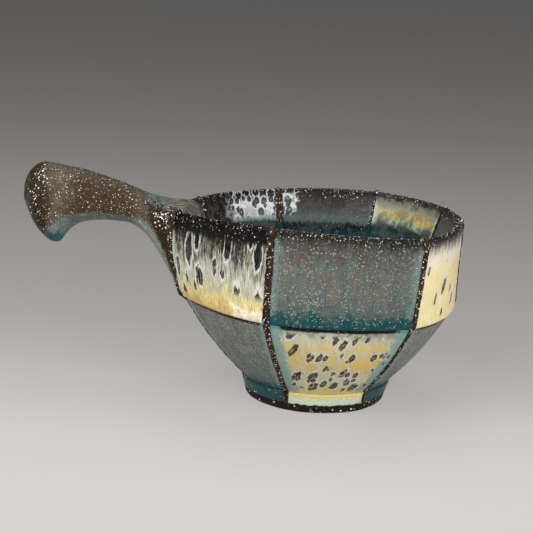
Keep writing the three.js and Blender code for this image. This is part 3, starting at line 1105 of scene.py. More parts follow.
@dataclass(frozen=True)
class HandleGlaze(Glaze):
    """Speckled brown on the handle's sides, grey-teal above and below, deep teal under the lip.

    The spans are reaches from the bowl's axis, or heights over the table where they say so.
    """

    SURFACE = Grip
    name: str = "handle_brown"
    brown: Colour = tint(72, 52, 23)
    umber: Colour = tint(27, 18, 9)
    ash: Colour = tint(112, 103, 86)
    top: Colour = tint(54, 61, 58)
    under: Colour = tint(92, 104, 98)
    under_root: Colour = tint(130, 136, 124)
    under_lip: Colour = tint(112, 134, 131)
    under_dark: Colour = tint(52, 62, 58)
    under_pale: Colour = tint(146, 154, 146)
    joint: Colour = tint(56, 39, 18)
    arch: Colour = tint(14, 9, 6)
    drape: tuple[Colour, Colour] = (tint(44, 38, 31), tint(128, 123, 108))
    valley: Colour = tint(88, 101, 96)
    end: Colour = tint(56, 38, 18)
    face: tuple[Colour, Colour] = (tint(48, 42, 34), tint(86, 84, 76))
    lip: Colour = tint(2, 84, 96)
    worn_zone: Triple = (124.0, 136.0, 5.0)
    neck_zone: Triple = (85.0, 92.0, 4.0)
    root_span: Span = (97.0, 86.0)
    joint_span: Span = (94.0, 88.0)
    joint_slant: Span = (37.8, 35.6)
    under_span: Span = (122.0, 130.0)
    top_span: Span = (90.0, 100.0)
    lap_span: Span = (78.0, 71.0)
    arch_span: Span = (85.0, 81.0)
    drape_span: Span = (91.0, 85.0)
    valley_span: Span = (74.0, 81.0)
    narrow_heights: Span = (92.0, 80.0)
    end_span: Span = (109.6, 113.0)
    face_span: Span = (118.6, 120.6)
    lip_span: Span = (122.0, 127.0)
    lip_heights: Span = (78.5, 74.5)
    lip_end: Span = (117.6, 115.8)
    below_span: Span = (90.0, 84.0)
    below_heights: Span = (86.5, 83.5)

    def sides(self, w: Grip) -> None:
        """Lays the brown sides, with ashen patches where hands wear them.

        Args:
            w: Wiring of the material.
        """
        w.colour = w.mix((w.fine * 0.6 + w.small * 0.4) * 0.9, self.brown, self.umber)
        worn = w.along.zone(*self.worn_zone) * ((w.broad + w.small) * 0.32 + 0.06)
        w.over(worn | w.along.zone(*self.neck_zone) * 0.3, self.ash)
        w.over(w.small.fade(0.6, 1.0) * 0.24, self.ash)

    def underside(self, w: Grip) -> Value:
        """Lays the brown joint down the wall and the grey-teal underside.

        Args:
            w: Wiring of the material.

        Returns:
            Where the underside lies.
        """
        root = w.reach.fade(*self.root_span)
        wall = w.reach - w.level * 0.55 + w.drift * 0.3
        joint = wall.fade(*self.joint_slant) * w.reach.fade(*self.joint_span)
        w.over(joint * 0.85, w.mix(w.fine, self.joint, self.umber))
        low = (w.ragged - root * 0.36).fade(0.0, -0.24) * (1.0 - joint)
        beneath = w.mix(root, self.under, self.under_root)
        beneath = w.mix(w.reach.fade(*self.under_span), beneath, self.under_lip)
        beneath = w.mix(w.fine.fade(0.45, 0.95) * 0.5, beneath, self.under_dark)
        beneath = w.mix(w.small.fade(0.5, 1.0) * 0.5, beneath, self.under_pale)
        w.over(low * 0.9, beneath)
        return low

    def lap(self, w: Grip) -> Value:
        """Lays the grey top, the dark arch over the knob and the strokes that drape over the rim.

        Args:
            w: Wiring of the material.

        Returns:
            Where the draped strokes lie.
        """
        w.over(w.ragged.fade(0.88, 1.0) * w.reach.fade(*self.top_span) * 0.6, self.top)
        lapped = w.ragged + w.reach.fade(*self.lap_span) * 0.35
        arch = lapped.zone(0.74, 0.94, 0.06) * w.reach.fade(*self.arch_span)
        w.over(arch * 0.8, self.arch)
        over = lapped.fade(0.87, 0.98) * w.along.fade(*self.drape_span)
        draped = w.mix(w.lines.fade(0.4, 0.6), *self.drape)
        w.over(over * 0.9, w.mix(w.along.fade(*self.valley_span), draped, self.valley))
        return over

    def tip(self, w: Grip) -> tuple[Value, Value, Value]:
        """Lays the dark end band, the worn end face and the pool under the lip.

        Args:
            w: Wiring of the material.

        Returns:
            Where the band, the face and the pool lie.
        """
        narrow = w.level.fade(*self.narrow_heights) * 3.4
        end = (w.tipped + w.drift * 0.9 - narrow).fade(*self.end_span)
        w.over(end * 0.85, w.mix(w.fine, self.end, self.umber))
        face = (w.tipped + w.drift * 0.4).fade(*self.face_span)
        worn = w.mix(w.lines.fade(0.3, 0.7), *self.face)
        w.over(face * 0.85, w.mix(w.fine * 0.5, worn, self.umber))
        pool = w.reach.fade(*self.lip_span) * (w.level + w.drift).fade(*self.lip_heights)
        pool = pool * (w.tipped + w.drift * 0.5).fade(*self.lip_end)
        w.over(pool, self.lip)
        return end, face, pool

    def lay(self, w: Grip) -> None:
        """Lays the glaze.

        Args:
            w: Wiring of the material.
        """
        self.sides(w)
        low = self.underside(w)
        over = self.lap(w)
        end, face, pool = self.tip(w)
        below = w.reach.fade(*self.below_span) * w.level.fade(*self.below_heights)
        plain = low * (1.0 - end) | pool | over * 0.8 | below * 0.7 | face * 0.8
        calm = 1.0 - plain * 0.9
        tiny = w.specks(0.8, 0.19, calm * (0.5 - end * 0.35))
        white = w.specks(1.5, 0.27, calm * 0.5) * 0.9 | tiny * 0.7
        w.over(white, WHITE_SPECK)
        w.fire(w.small, w.fine * 0.5 + white, Gloss(0.24, 0.46, 0.5))


@dataclass(frozen=True)
class FootGlaze(Glaze):
    """Bare dark clay under a glaze line, teal or mint by the panel above."""

    name: str = "foot_clay"
    clay: Colour = tint(20, 14, 10)
    clay_light: Colour = tint(52, 40, 30)
    teal: Colour = tint(26, 76, 77)
    teal_light: Colour = tint(58, 92, 90)
    teal_dark: Colour = tint(8, 30, 32)
    mint: Colour = tint(204, 220, 196)
    cream: Colour = tint(222, 206, 146)
    cream_dark: Colour = tint(150, 128, 82)
    margin: Colour = tint(120, 150, 146)
    line: float = 4.6

    def lay(self, w: Surface) -> None:
        """Lays the glaze.

        Args:
            w: Wiring of the material.
        """
        edge, level, warm = w.glaze_values()
        broad, fine = w.mottle(5.0)
        grain = fine.fade(0.5, 1.0)
        pale = w.mix((level + (broad + fine - 1.0) * 1.6).fade(6.4, 8.6), self.mint, self.cream)
        pale = w.mix(grain * 0.3, pale, self.cream_dark)
        dull = w.mix(broad * 0.3, self.teal, self.teal_light)
        dull = w.mix(grain * 0.45, dull, self.teal_dark)
        w.colour = w.mix(warm.fade(0.45, 0.55), dull, pale)
        w.over(w.margin(edge, 2.0) * 0.4, self.margin)
        uneven = level + (broad - 0.5) * 0.9
        clay = w.mix(fine * 0.5, self.clay, self.clay_light)
        w.colour = w.mix(uneven.fade(self.line - 0.5, self.line + 0.3), clay, w.colour)
        bare = uneven.fade(self.line + 0.2, self.line - 0.4)
        w.over(w.specks(1.8, 0.48, bare * 0.4 + 0.22), WHITE_SPECK)
        w.fire(uneven.fade(self.line, self.line - 0.6), fine, Gloss(0.28, 0.6, 0.3))


@dataclass(frozen=True)
class PoolGlaze(Glaze):
    """Deep teal glaze, pooled and glossy in the bottom of the bowl."""

    name: str = "teal_pool"
    deep: Colour = tint(10, 62, 68)
    light: Colour = tint(34, 108, 112)
    dark: Colour = tint(8, 40, 46)

    def lay(self, w: Surface) -> None:
        """Lays the glaze.

        Args:
            w: Wiring of the material.
        """
        broad, fine = w.mottle(10.0)
        w.colour = w.mix(fine * 0.2, w.mix(broad, self.deep, self.light), self.dark)
        w.fire(fine * 0.3, broad, Gloss(0.14, 0.3, 0.2))


@dataclass(frozen=True)
class CrystalGlaze(Glaze):
    """White crystals that stand on the dark glaze."""

    name: str = "white_crystal"
    white: Colour = tint(253, 252, 246)
    cream: Colour = tint(216, 208, 190)

    def lay(self, w: Surface) -> None:
        """Lays the glaze.

        Args:
            w: Wiring of the material.
        """
        broad, fine = w.mottle(3.0)
        w.colour = w.mix(broad, self.white, self.cream)
        w.fire(fine, fine, Gloss(0.25, 0.4, 0.1))


BLACK = tint(6, 5, 4)
POOL_TEAL = tint(14, 66, 72)

# Black top running into cream, gold at the lip, with drawn-out dark spots; the pale patch is a painted
# highlight
YELLOW_UPPER = PanelGlaze(
    "yellow_upper",
    ((0, BLACK), (12, tint(22, 18, 17)), (16.5, tint(66, 61, 58)), (20, tint(150, 150, 138)),
     (25, tint(198, 199, 180)), (31, tint(194, 192, 164)), (35, tint(238, 218, 142)),
     (40, tint(236, 206, 114)), (42.5, tint(222, 178, 92))),
    cloud=tint(204, 203, 170), cloud_share=0.4, streak=tint(92, 88, 78), streak_share=0.55, feather=4.0,
    run=(0.85, 9.0), hair=0.75, margin=tint(196, 209, 202), margin_width=2.6,
    spots=(Spots(10, 34, 6.2, 3.6, 0.36, 0.62, 0.05), Spots(24, 41, 5.0, 2.4, 0.34, 0.12)),
    drip=0.7, specks=(0.36, 0.02), foot=tint(214, 190, 130), foot_from=45.0,
    patch=tint(242, 238, 212), patch_from=40.0, patch_start=37.5, patch_end=48.0,
    dark_end=9, cloud_from=24, grit=0.24)

# A short dark top, a white band and clear gold under it, with few spots
YELLOW_FAR = PanelGlaze(
    "yellow_far",
    ((0, BLACK), (4, tint(58, 50, 54)), (7.5, tint(150, 144, 142)), (10.5, tint(232, 232, 226)),
     (14, tint(238, 233, 208)), (17, tint(246, 229, 172)), (42, tint(244, 224, 162))),
    cloud=tint(240, 212, 126), cloud_share=0.5, streak=tint(252, 249, 232), streak_share=0.75, feather=2.6,
    margin=tint(238, 238, 226), margin_width=3.4, spots=(Spots(14, 41, 5.4, 2.6, 0.28, 0.55, 0.2),),
    specks=(0.45, 0.01), speck_end=9, foot=tint(226, 224, 206), foot_from=43.0, cloud_from=16)

# Brown top, speckled warm grey with teal clouds, and a deep teal band at the lip
GREY_UPPER = PanelGlaze(
    "grey_upper",
    ((0, tint(10, 7, 5)), (2.6, tint(24, 18, 13)), (8.5, tint(84, 74, 64)), (18, tint(108, 104, 94)),
     (30, tint(103, 103, 96)), (37.5, tint(78, 88, 84))),
    cloud=tint(84, 112, 109), cloud_share=0.5, streak=tint(72, 60, 51), streak_share=0.26, feather=2.4,
    margin=tint(122, 141, 137), margin_width=7.0, specks=(0.5, 0.36), speck_end=13, speck_size=0.27,
    drip=0.15, drip_end=40, foot=tint(7, 70, 74), foot_from=36.5, foot_fade=5.0, dark_end=3, cloud_from=22,
    grit=0.5, frost=0.55, gloss=Gloss(0.22, 0.4, 0.5))

# Speckled grey that turns to teal towards the foot. Its thin black top is partly a dark glaze line and
# partly painted shade in the groove under the upper panel's lip
GREY_LOWER = PanelGlaze(
    "grey_lower",
    ((0, BLACK), (1.2, tint(18, 15, 13)), (1.9, tint(130, 129, 122)), (20, tint(136, 137, 129)),
     (36, tint(112, 124, 119)), (48, tint(62, 98, 97))),
    cloud=tint(86, 110, 107), cloud_share=0.55, streak=tint(58, 52, 49), streak_share=0.6, feather=0.35,
    margin=tint(150, 174, 171), margin_width=5.0, margin_over=True, specks=(0.2, 0.4), speck_end=10,
    speck_size=0.27, foot=tint(18, 74, 78), foot_from=42.5, foot_fade=4.0, dark_end=1.5, dark_fade=1.2,
    cloud_from=-10, grit=0.42, frost=0.6, gloss=Gloss(0.26, 0.46, 0.5))

# Cream under the groove, then gold with ringed spots and teal margins. The thin black top is partly a dark
# glaze line and partly painted shade in the groove under the upper panel's lip
YELLOW_LOWER = PanelGlaze(
    "yellow_lower",
    ((0, BLACK), (1.4, tint(18, 15, 13)), (2.1, tint(132, 134, 122)), (5.5, tint(190, 190, 166)),
     (9.5, tint(222, 190, 100)), (24, tint(219, 186, 96)), (33, tint(206, 202, 168)),
     (43, tint(230, 200, 118))),
    cloud=tint(196, 199, 178), cloud_share=0.66, streak=tint(150, 146, 124), streak_share=0.4, feather=1.0,
    margin=tint(117, 157, 154), margin_width=7.4, margin_core=0.62, margin_over=True,
    spots=(Spots(4, 44, 5.2, 1.8, 0.42, 0.62, 0.6, clear=4.4),
           Spots(14, 42, 4.0, 1.5, 0.34, 0.3, 0.5, clear=2.4)),
    halo=tint(214, 215, 206), specks=(0.03, 0.02), speck_end=10, foot=tint(222, 206, 146), foot_from=44.5,
    dark_end=1.5, dark_fade=1.2, cloud_from=-10)

# Dark streaked grey under the rim
GREY_INNER = PanelGlaze(
    "grey_inner",
    ((0, BLACK), (3, tint(50, 44, 40)), (8, tint(76, 75, 70)), (14, tint(76, 84, 81)),
     (17, tint(30, 38, 39)), (22, POOL_TEAL)),
    cloud=tint(62, 78, 78), cloud_share=0.5, streak=tint(110, 106, 98), streak_share=0.35, feather=1.6,
    margin=tint(96, 128, 128), margin_width=2.0, margin_end=18.0, specks=(0.4, 0.05), speck_end=9,
    gloss=Gloss(0.16, 0.34, 0.3))

# Brown under the rim, then grey and teal, with a spotted pale patch at one end
TEAL_INNER = PanelGlaze(
    "teal_inner",
    ((0, BLACK), (4.5, tint(34, 27, 22)), (10.5, tint(56, 49, 43)), (14, tint(66, 67, 63)),
     (18.6, tint(90, 108, 104)), (20.6, tint(12, 17, 18)), (26, tint(10, 60, 66))),
    cloud=tint(80, 84, 80), cloud_share=0.4, streak=tint(52, 43, 37), streak_share=0.35, feather=1.8,
    margin=tint(92, 112, 110), margin_width=2.2, margin_end=18.0, specks=(0.45, 0.08), speck_end=11,
    spots=(Spots(2, 16, 3.5, 1.4, 0.5, 0.9, 0.0, 43.0),), patch_from=45.0, patch_end=16.0,
    gloss=Gloss(0.14, 0.32, 0.3))

# Dark feathers over grey and cream, with a gold band above the pool
GOLD_INNER = PanelGlaze(
    "gold_inner",
    ((0, BLACK), (2.5, tint(50, 44, 42)), (6, tint(124, 121, 108)), (9, tint(176, 171, 140)),
     (12, tint(208, 174, 84)), (14.5, tint(150, 172, 150)), (17.5, tint(36, 50, 50)), (22, POOL_TEAL)),
    cloud=tint(100, 96, 84), cloud_share=0.55, streak=tint(70, 66, 61), streak_share=0.4, feather=1.5,
    cloud_from=-10, margin=tint(184, 206, 194), margin_width=3.6, margin_end=18.0, specks=(0.4, 0.02),
    speck_end=7, gloss=Gloss(0.14, 0.3, 0.3))

# Glossy white with ringed dark spots
WHITE_INNER = PanelGlaze(
    "white_inner",
    ((0, BLACK), (3.6, tint(24, 20, 20)), (5.6, tint(130, 128, 128)), (8.0, tint(220, 221, 223)),
     (13.5, tint(220, 225, 224)), (15.5, tint(150, 176, 174)), (18, tint(34, 46, 48)), (23, POOL_TEAL)),
    cloud=tint(96, 93, 96), cloud_share=0.4, streak=tint(90, 86, 88), streak_share=0.4, feather=1.2,
    margin=tint(206, 214, 212), margin_width=2.4, margin_end=16.0,
    spots=(Spots(1, 15.5, 3.6, 1.35, 0.5, 0.92),), halo=tint(232, 233, 232), specks=(0.35, 0.02), speck_end=6,
    gloss=Gloss(0.1, 0.24, 0.4), dark_end=2)
# The white inner glaze with painted shade from the handle's root, over dark glaze, past 30 mm across
WHITE_INNER_SHADED = replace(WHITE_INNER, dusk_from=30.0)


class Palette:
    """All the glazes of the bowl."""

    UPPER = (YELLOW_UPPER, GREY_UPPER, YELLOW_FAR, GREY_UPPER) * 2
    LOWER = (GREY_LOWER, YELLOW_LOWER) * 4
    INNER = (GOLD_INNER, GREY_INNER, WHITE_INNER, GREY_INNER, GOLD_INNER, TEAL_INNER, WHITE_INNER_SHADED, GREY_INNER)

    LOWER_SEED = 1.5
    INNER_SEED = 0.2

    def __init__(self) -> None:
        """Builds the shared effects and every material."""
        effects = Effects()
        self.bead = BeadGlaze().build(effects)
        self.handle = HandleGlaze().build(effects)
        self.foot = FootGlaze().build(effects)
        self.pool = PoolGlaze().build(effects)
        self.crystal = CrystalGlaze().build(effects)
        self.upper_outer = [glaze.on(n, float(n), effects) for n, glaze in enumerate(self.UPPER, 1)]
        self.lower_outer = [glaze.on(n, self.LOWER_SEED + (0 if glaze is GREY_LOWER else n), effects)
                            for n, glaze in enumerate(self.LOWER, 1)]
        self.inner = [glaze.on(n, n + self.INNER_SEED, effects) for n, glaze in enumerate(self.INNER, 1)]


# Pieces


@dataclass
class Assembly:
    """What each sub-assembly of the bowl is made with."""

    maker: Maker
    shape: WallShape
    palette: Palette


@dataclass
class PanelledWall(Assembly):
    """The upper and lower panels of the wall."""

    across_steps: int = 44
    lower_outer_steps: int = 34
    lower_inner_steps: int = 20
    lip_steps: int = 8
    upper_steps: int = 30
    rim_steps: int = 11
    slope_steps: int = 14
    belly_steps: int = 12
    edge: float = 0.15
    sharp: float = 55.0

    def profile(self, tier: Tier) -> tuple[Places, int, int]:
        """Closed profile of a panel, from its lower edge up the outside and down the inside.

        Args:
            tier: Upper or lower panels.

        Returns:
            The places, the number of the top one, and the number where the inner face begins.
        """
        shape = self.shape
        if tier is Tier.LOWER:
            outer = shape.lower_outer(np.linspace(0, 1, self.lower_outer_steps))
            inner = shape.lower_inner(np.linspace(1, 0, self.lower_inner_steps))
            return Places.row([outer, inner]), self.lower_outer_steps - 1, self.lower_outer_steps
        lip_share = 2 * shape.lip_round / (shape.rim_height - shape.shoulder_height)
        row = Places.row([
            shape.lip_arc(np.linspace(0, 1, self.lip_steps)),
            shape.upper_outer(np.linspace(lip_share, 1, self.upper_steps)),
            shape.rim_arc(np.linspace(0, 1, self.rim_steps + 2)[1:-1]),
            shape.upper_inner(np.linspace(1, shape.belly_share, self.slope_steps)),
            shape.upper_inner(np.linspace(shape.belly_share, 0, self.belly_steps)[1:])])
        top = self.lip_steps + self.upper_steps + self.rim_steps // 2
        return row, top, top

    def panel(self, number: int, tier: Tier) -> Piece:
        """Makes one panel.

        Args:
            number: Its number, from 1.
            tier: Upper or lower.

        Returns:
            The panel.
        """
        pair = self.shape.pairs()[number - 1]
        places, top, inside = self.profile(tier)
        shares = np.linspace(0, 1, self.across_steps + 1)
        width = np.linalg.norm(np.diff(self.shape.points(pair, places, shares), axis=0), axis=2).sum(axis=0)
        trim = self.edge / width.max()
        points = self.shape.points(pair, places, blend(trim, 1 - trim, shares))
        points = self.shape.by_hand(points)
        steps = np.linalg.norm(np.diff(points, axis=1), axis=2).mean(axis=0)
        along = np.concatenate([[0.0], np.cumsum(steps)])
        down = np.abs(along - along[top])
        across = shares[:, None] * width[None, :]
        edge = np.minimum(across, width[None, :] - across)
        glaze = np.stack([across + PANEL_STEP * number, np.broadcast_to(down, across.shape), edge], axis=2)
        count = len(down)
        piece = self.maker.mesh(f"{tier.value}_{number}_glazed", points.reshape(-1, 3),
                                Maker.lofted(len(shares), count), glaze.reshape(-1, 3), self.sharp)
        for face in piece.data.polygons:
            if len(face.vertices) == 4 and min(v % count for v in face.vertices) >= inside:
                face.material_index = 1
        return piece

    def build(self) -> list[Piece]:
        """Makes and dresses all the panels.

        Returns:
            The upper panels.
        """
        made = {tier: [] for tier in Tier}
        palette = self.palette
        for i in range(len(self.shape.seams)):
            glazes = {Tier.UPPER: [palette.upper_outer[i], palette.inner[i]],
                      Tier.LOWER: [palette.lower_outer[i], palette.pool]}
            for tier in Tier:
                piece = self.panel(i + 1, tier)
                warm = (i % 2 == 0) == (tier is Tier.UPPER)
                dress(piece, Slot.YELLOW if warm else Slot.GREY, glazes[tier], f"{tier.value}_{i + 1}")
                made[tier].append(piece)
        return made[Tier.UPPER]


class PieceTree(Group):
    """Wiring of a Geometry Nodes tree that makes a piece of one material."""

    KIND = RESULT = "Geometry"

    def __init__(self, name: str, **inputs: float) -> None:
        """Starts a tree with inputs of usual values."""
        super().__init__(name, ["Geometry"], Geometry="Geometry", **inputs, Material="Material")

    def make_plain(self, geometry: Value) -> None:
        """Ends the tree in plain geometry with its material.

        Args:
            geometry: What the tree made.
        """
        real = self.value("GeometryNodeRealizeInstances", None, {0: geometry})
        self.end(self.value("GeometryNodeSetMaterial", None, {
            "Geometry": real, "Material": self.given["Material"]}))

    def apply(self, source: Piece, name: str, **values: object) -> Piece:
        """Runs the tree on an object and keeps the result as a plain mesh.

        Args:
            source: The object, whose mesh is used up.
            name: Name of the piece.
            **values: Values of the tree's inputs.

        Returns:
            The piece.
        """
        modifier = source.modifiers.new(self.tree.name, "NODES")
        modifier.node_group = self.tree
        for key, given in values.items():
            modifier[self.identifiers[key]] = given
        graph = bpy.context.evaluated_depsgraph_get()
        data = bpy.data.meshes.new_from_object(source.evaluated_get(graph))
        data.name = name
        source.modifiers.remove(modifier)
        source.data = data
        source.name = name
        return source


class BeadTree(PieceTree):
    """Tree that lays a lumpy bead of clay along a path."""

    SIDES = 14
    LUMPS_PER_M = 420.0

    def __init__(self) -> None:
        """Builds the tree."""
        super().__init__("joint_bead", Width=3.2 * MM, Height=2.4 * MM, Lump=0.5 * MM, Step=0.8 * MM,
                         Seed=0.0)
        given = self.given
        path = self.value("GeometryNodeMeshToCurve", None, {0: given["Geometry"]})
        girth = self.value("GeometryNodeInputNamedAttribute", {"data_type": "FLOAT"}, {"Name": "girth"})
        spaced = self.value("GeometryNodeResampleCurve", {"mode": "LENGTH"},
                            {"Curve": path, "Length": given["Step"]})
        ring = self.value("GeometryNodeCurvePrimitiveCircle", None, {"Resolution": self.SIDES, "Radius": 0.5})
        size = self.join(given["Width"], given["Height"], 1.0)
        section = self.value("GeometryNodeTransform", None, {"Geometry": ring, "Scale": size})
        body = self.value("GeometryNodeCurveToMesh", None, {
            "Curve": spaced, "Profile Curve": section, "Scale": girth, "Fill Caps": True})
        lumps = self.value("ShaderNodeTexNoise", {"noise_dimensions": "4D"}, {
            "Vector": self.value("GeometryNodeInputPosition"), "W": given["Seed"],
            "Scale": self.LUMPS_PER_M, "Detail": 2.0})
        offset = self.scaled(self.value("GeometryNodeInputNormal"), (lumps - 0.5) * given["Lump"])
        moved = self.value("GeometryNodeSetPosition", None, {"Geometry": body, "Offset": offset})
        self.make_plain(self.value("GeometryNodeSetShadeSmooth", None, {0: moved}))


class CrystalTree(PieceTree):
    """Tree that scatters flat crystals over a surface, in clusters."""

    CLUSTER_SIZE = 2.8 * MM
    SMALLEST = (0.3, 0.3, 0.2)
    LARGEST = (1.35, 1.35, 0.5)

    def __init__(self) -> None:
        """Builds the tree."""
        super().__init__("white_crystals", Density=200000.0, Size=0.4 * MM, Seed=1)
        given = self.given
        share = self.value("GeometryNodeInputNamedAttribute", {"data_type": "FLOAT"}, {"Name": "crystals"})
        place = self.value("GeometryNodeInputPosition")
        density = given["Density"] * share * self.noise(place, self.CLUSTER_SIZE).fade(0.44, 0.62)
        points = self.node("GeometryNodeDistributePointsOnFaces", None, {
            "Mesh": given["Geometry"], "Density": density, "Seed": given["Seed"]}).outputs
        grain = self.value("GeometryNodeMeshIcoSphere", None, {"Radius": given["Size"], "Subdivisions": 1})
        scale = self.value("FunctionNodeRandomValue", {"data_type": "FLOAT_VECTOR"}, {
            0: self.SMALLEST, 1: self.LARGEST, "Seed": given["Seed"]})
        self.make_plain(self.value("GeometryNodeInstanceOnPoints", None, {
            "Points": Value(self, points["Points"]), "Instance": grain,
            "Rotation": Value(self, points["Rotation"]), "Scale": scale}))

    def scatter(self, piece: Piece, share: np.ndarray, slot: Slot, kind: str = "crystals",
                **values: object) -> None:
        """Scatters crystals over a piece and dresses them.

        Args:
            piece: The piece, which stays as it is.
            share: How dense they lie at each of its points, 0 to 1.
            slot: Their material slot.
            kind: What their name ends in.
            **values: Values of the tree's inputs.
        """
        host = linked("host", piece.data.copy())
        keep(host.data, "crystals", share)
        dress(self.apply(host, f"{piece.name}_{kind}", **values), slot, ())


@dataclass
class JointStrips(Assembly):
    """Beads of clay in the joints between panels, from the foot over the rim and down the inside.

    Spans are the shares of a wall's face that a stretch covers, and girths are shares of the usual one there.
    """

    width: float = 2.9
    height: float = 2.3
    lump: float = 0.9
    step: float = 0.7
    foot_line: float = 4.8
    foot_lean: float = 0.24
    pool_line: float = 78.0
    pool_fade: float = 3.0
    knob_power: float = 2.5
    tail_gap: float = 0.4
    tail_girth: Span = (0.6, 0.85)
    tail_steps: int = 6
    lower_span: Span = (0.02, 0.96)
    lower_girth: Span = (0.75, 0.85)
    lower_steps: int = 24
    upper_span: Span = (0.04, 1.0)
    upper_girth: float = 0.95
    upper_steps: int = 26
    rim_steps: int = 7
    inner_span: Span = (1.0, 0.03)
    inner_steps: int = 20
    pool_span: Span = (0.97, 0.2)
    pool_girth: Span = (0.7, 0.4)
    pool_steps: int = 12

    def path(self, seam: Seam) -> tuple[np.ndarray, np.ndarray, np.ndarray]:
        """Path of a bead on the upright plane of its seam.

        Args:
            seam: The seam.

        Returns:
            Points of the path, and at each the bead's girth and how far the pooled glaze covers it.
        """
        shape, inner = self.shape, seam.inner_bead / seam.bead
        tail = np.linspace(self.foot_line, shape.foot_height - self.tail_gap, self.tail_steps)
        rim = (seam.rim_girth + seam.knob * np.linspace(1.0, 0.0, self.rim_steps)) / seam.bead
        rows = [
            (shape.lower_outer(np.linspace(*self.lower_span, self.lower_steps)),
             seam.low_girth * np.linspace(*self.lower_girth, self.lower_steps)),
            (shape.upper_outer(np.linspace(*self.upper_span, self.upper_steps)),
             self.upper_girth + seam.knob * np.linspace(0.0, 1.0, self.upper_steps) ** self.knob_power),
            (shape.rim_arc(np.linspace(0, 1, self.rim_steps + 2)[1:-1]), rim),
            (shape.upper_inner(np.linspace(*self.inner_span, self.inner_steps)),
             np.full(self.inner_steps, inner)),
            (shape.lower_inner(np.linspace(*self.pool_span, self.pool_steps)),
             np.linspace(*self.pool_girth, self.pool_steps) * inner),
        ]
        places = Places.row([row for row, _ in rows])
        foot = shape.foot_base_radius + self.foot_lean * tail
        radius = np.concatenate([foot, shape.seam_radius(places, seam)])
        height = np.concatenate([tail, shape.seam_height(places, seam)])
        girths = [seam.low_girth * np.linspace(*self.tail_girth, self.tail_steps),
                  *(share for _, share in rows)]
        points = np.concatenate([radius[:, None] * seam.direction(seam.bead_turn), height[:, None]], axis=1)
        inside = np.arange(len(points)) >= len(points) - self.inner_steps - self.pool_steps
        pooled = inside * smooth((self.pool_line - height) / self.pool_fade)
        return shape.by_hand(points), np.concatenate(girths) * seam.bead, pooled

    def build(self) -> list[Piece]:
        """Makes and dresses the beads.

        Returns:
            The beads.
        """
        tree = BeadTree()
        beads = []
        for i, seam in enumerate(self.shape.seams):
            points, girth, pooled = self.path(seam)
            data = bpy.data.meshes.new("path")
            edges = [(k, k + 1) for k in range(len(points) - 1)]
            data.from_pydata((points * MM + self.maker.axis).tolist(), edges, [])
            keep(data, "girth", girth)
            keep(data, "pooled", pooled)
            bead = tree.apply(linked("path", data), f"joint_strip_{i + 1}_bead", Width=self.width * MM,
                              Height=self.height * MM, Lump=self.lump * MM, Step=self.step * MM,
                              Seed=float(i), Material=self.palette.bead)
            dress(bead, Slot.BROWN, (), f"joint_strip_{i + 1}")
            beads.append(bead)
        return beads


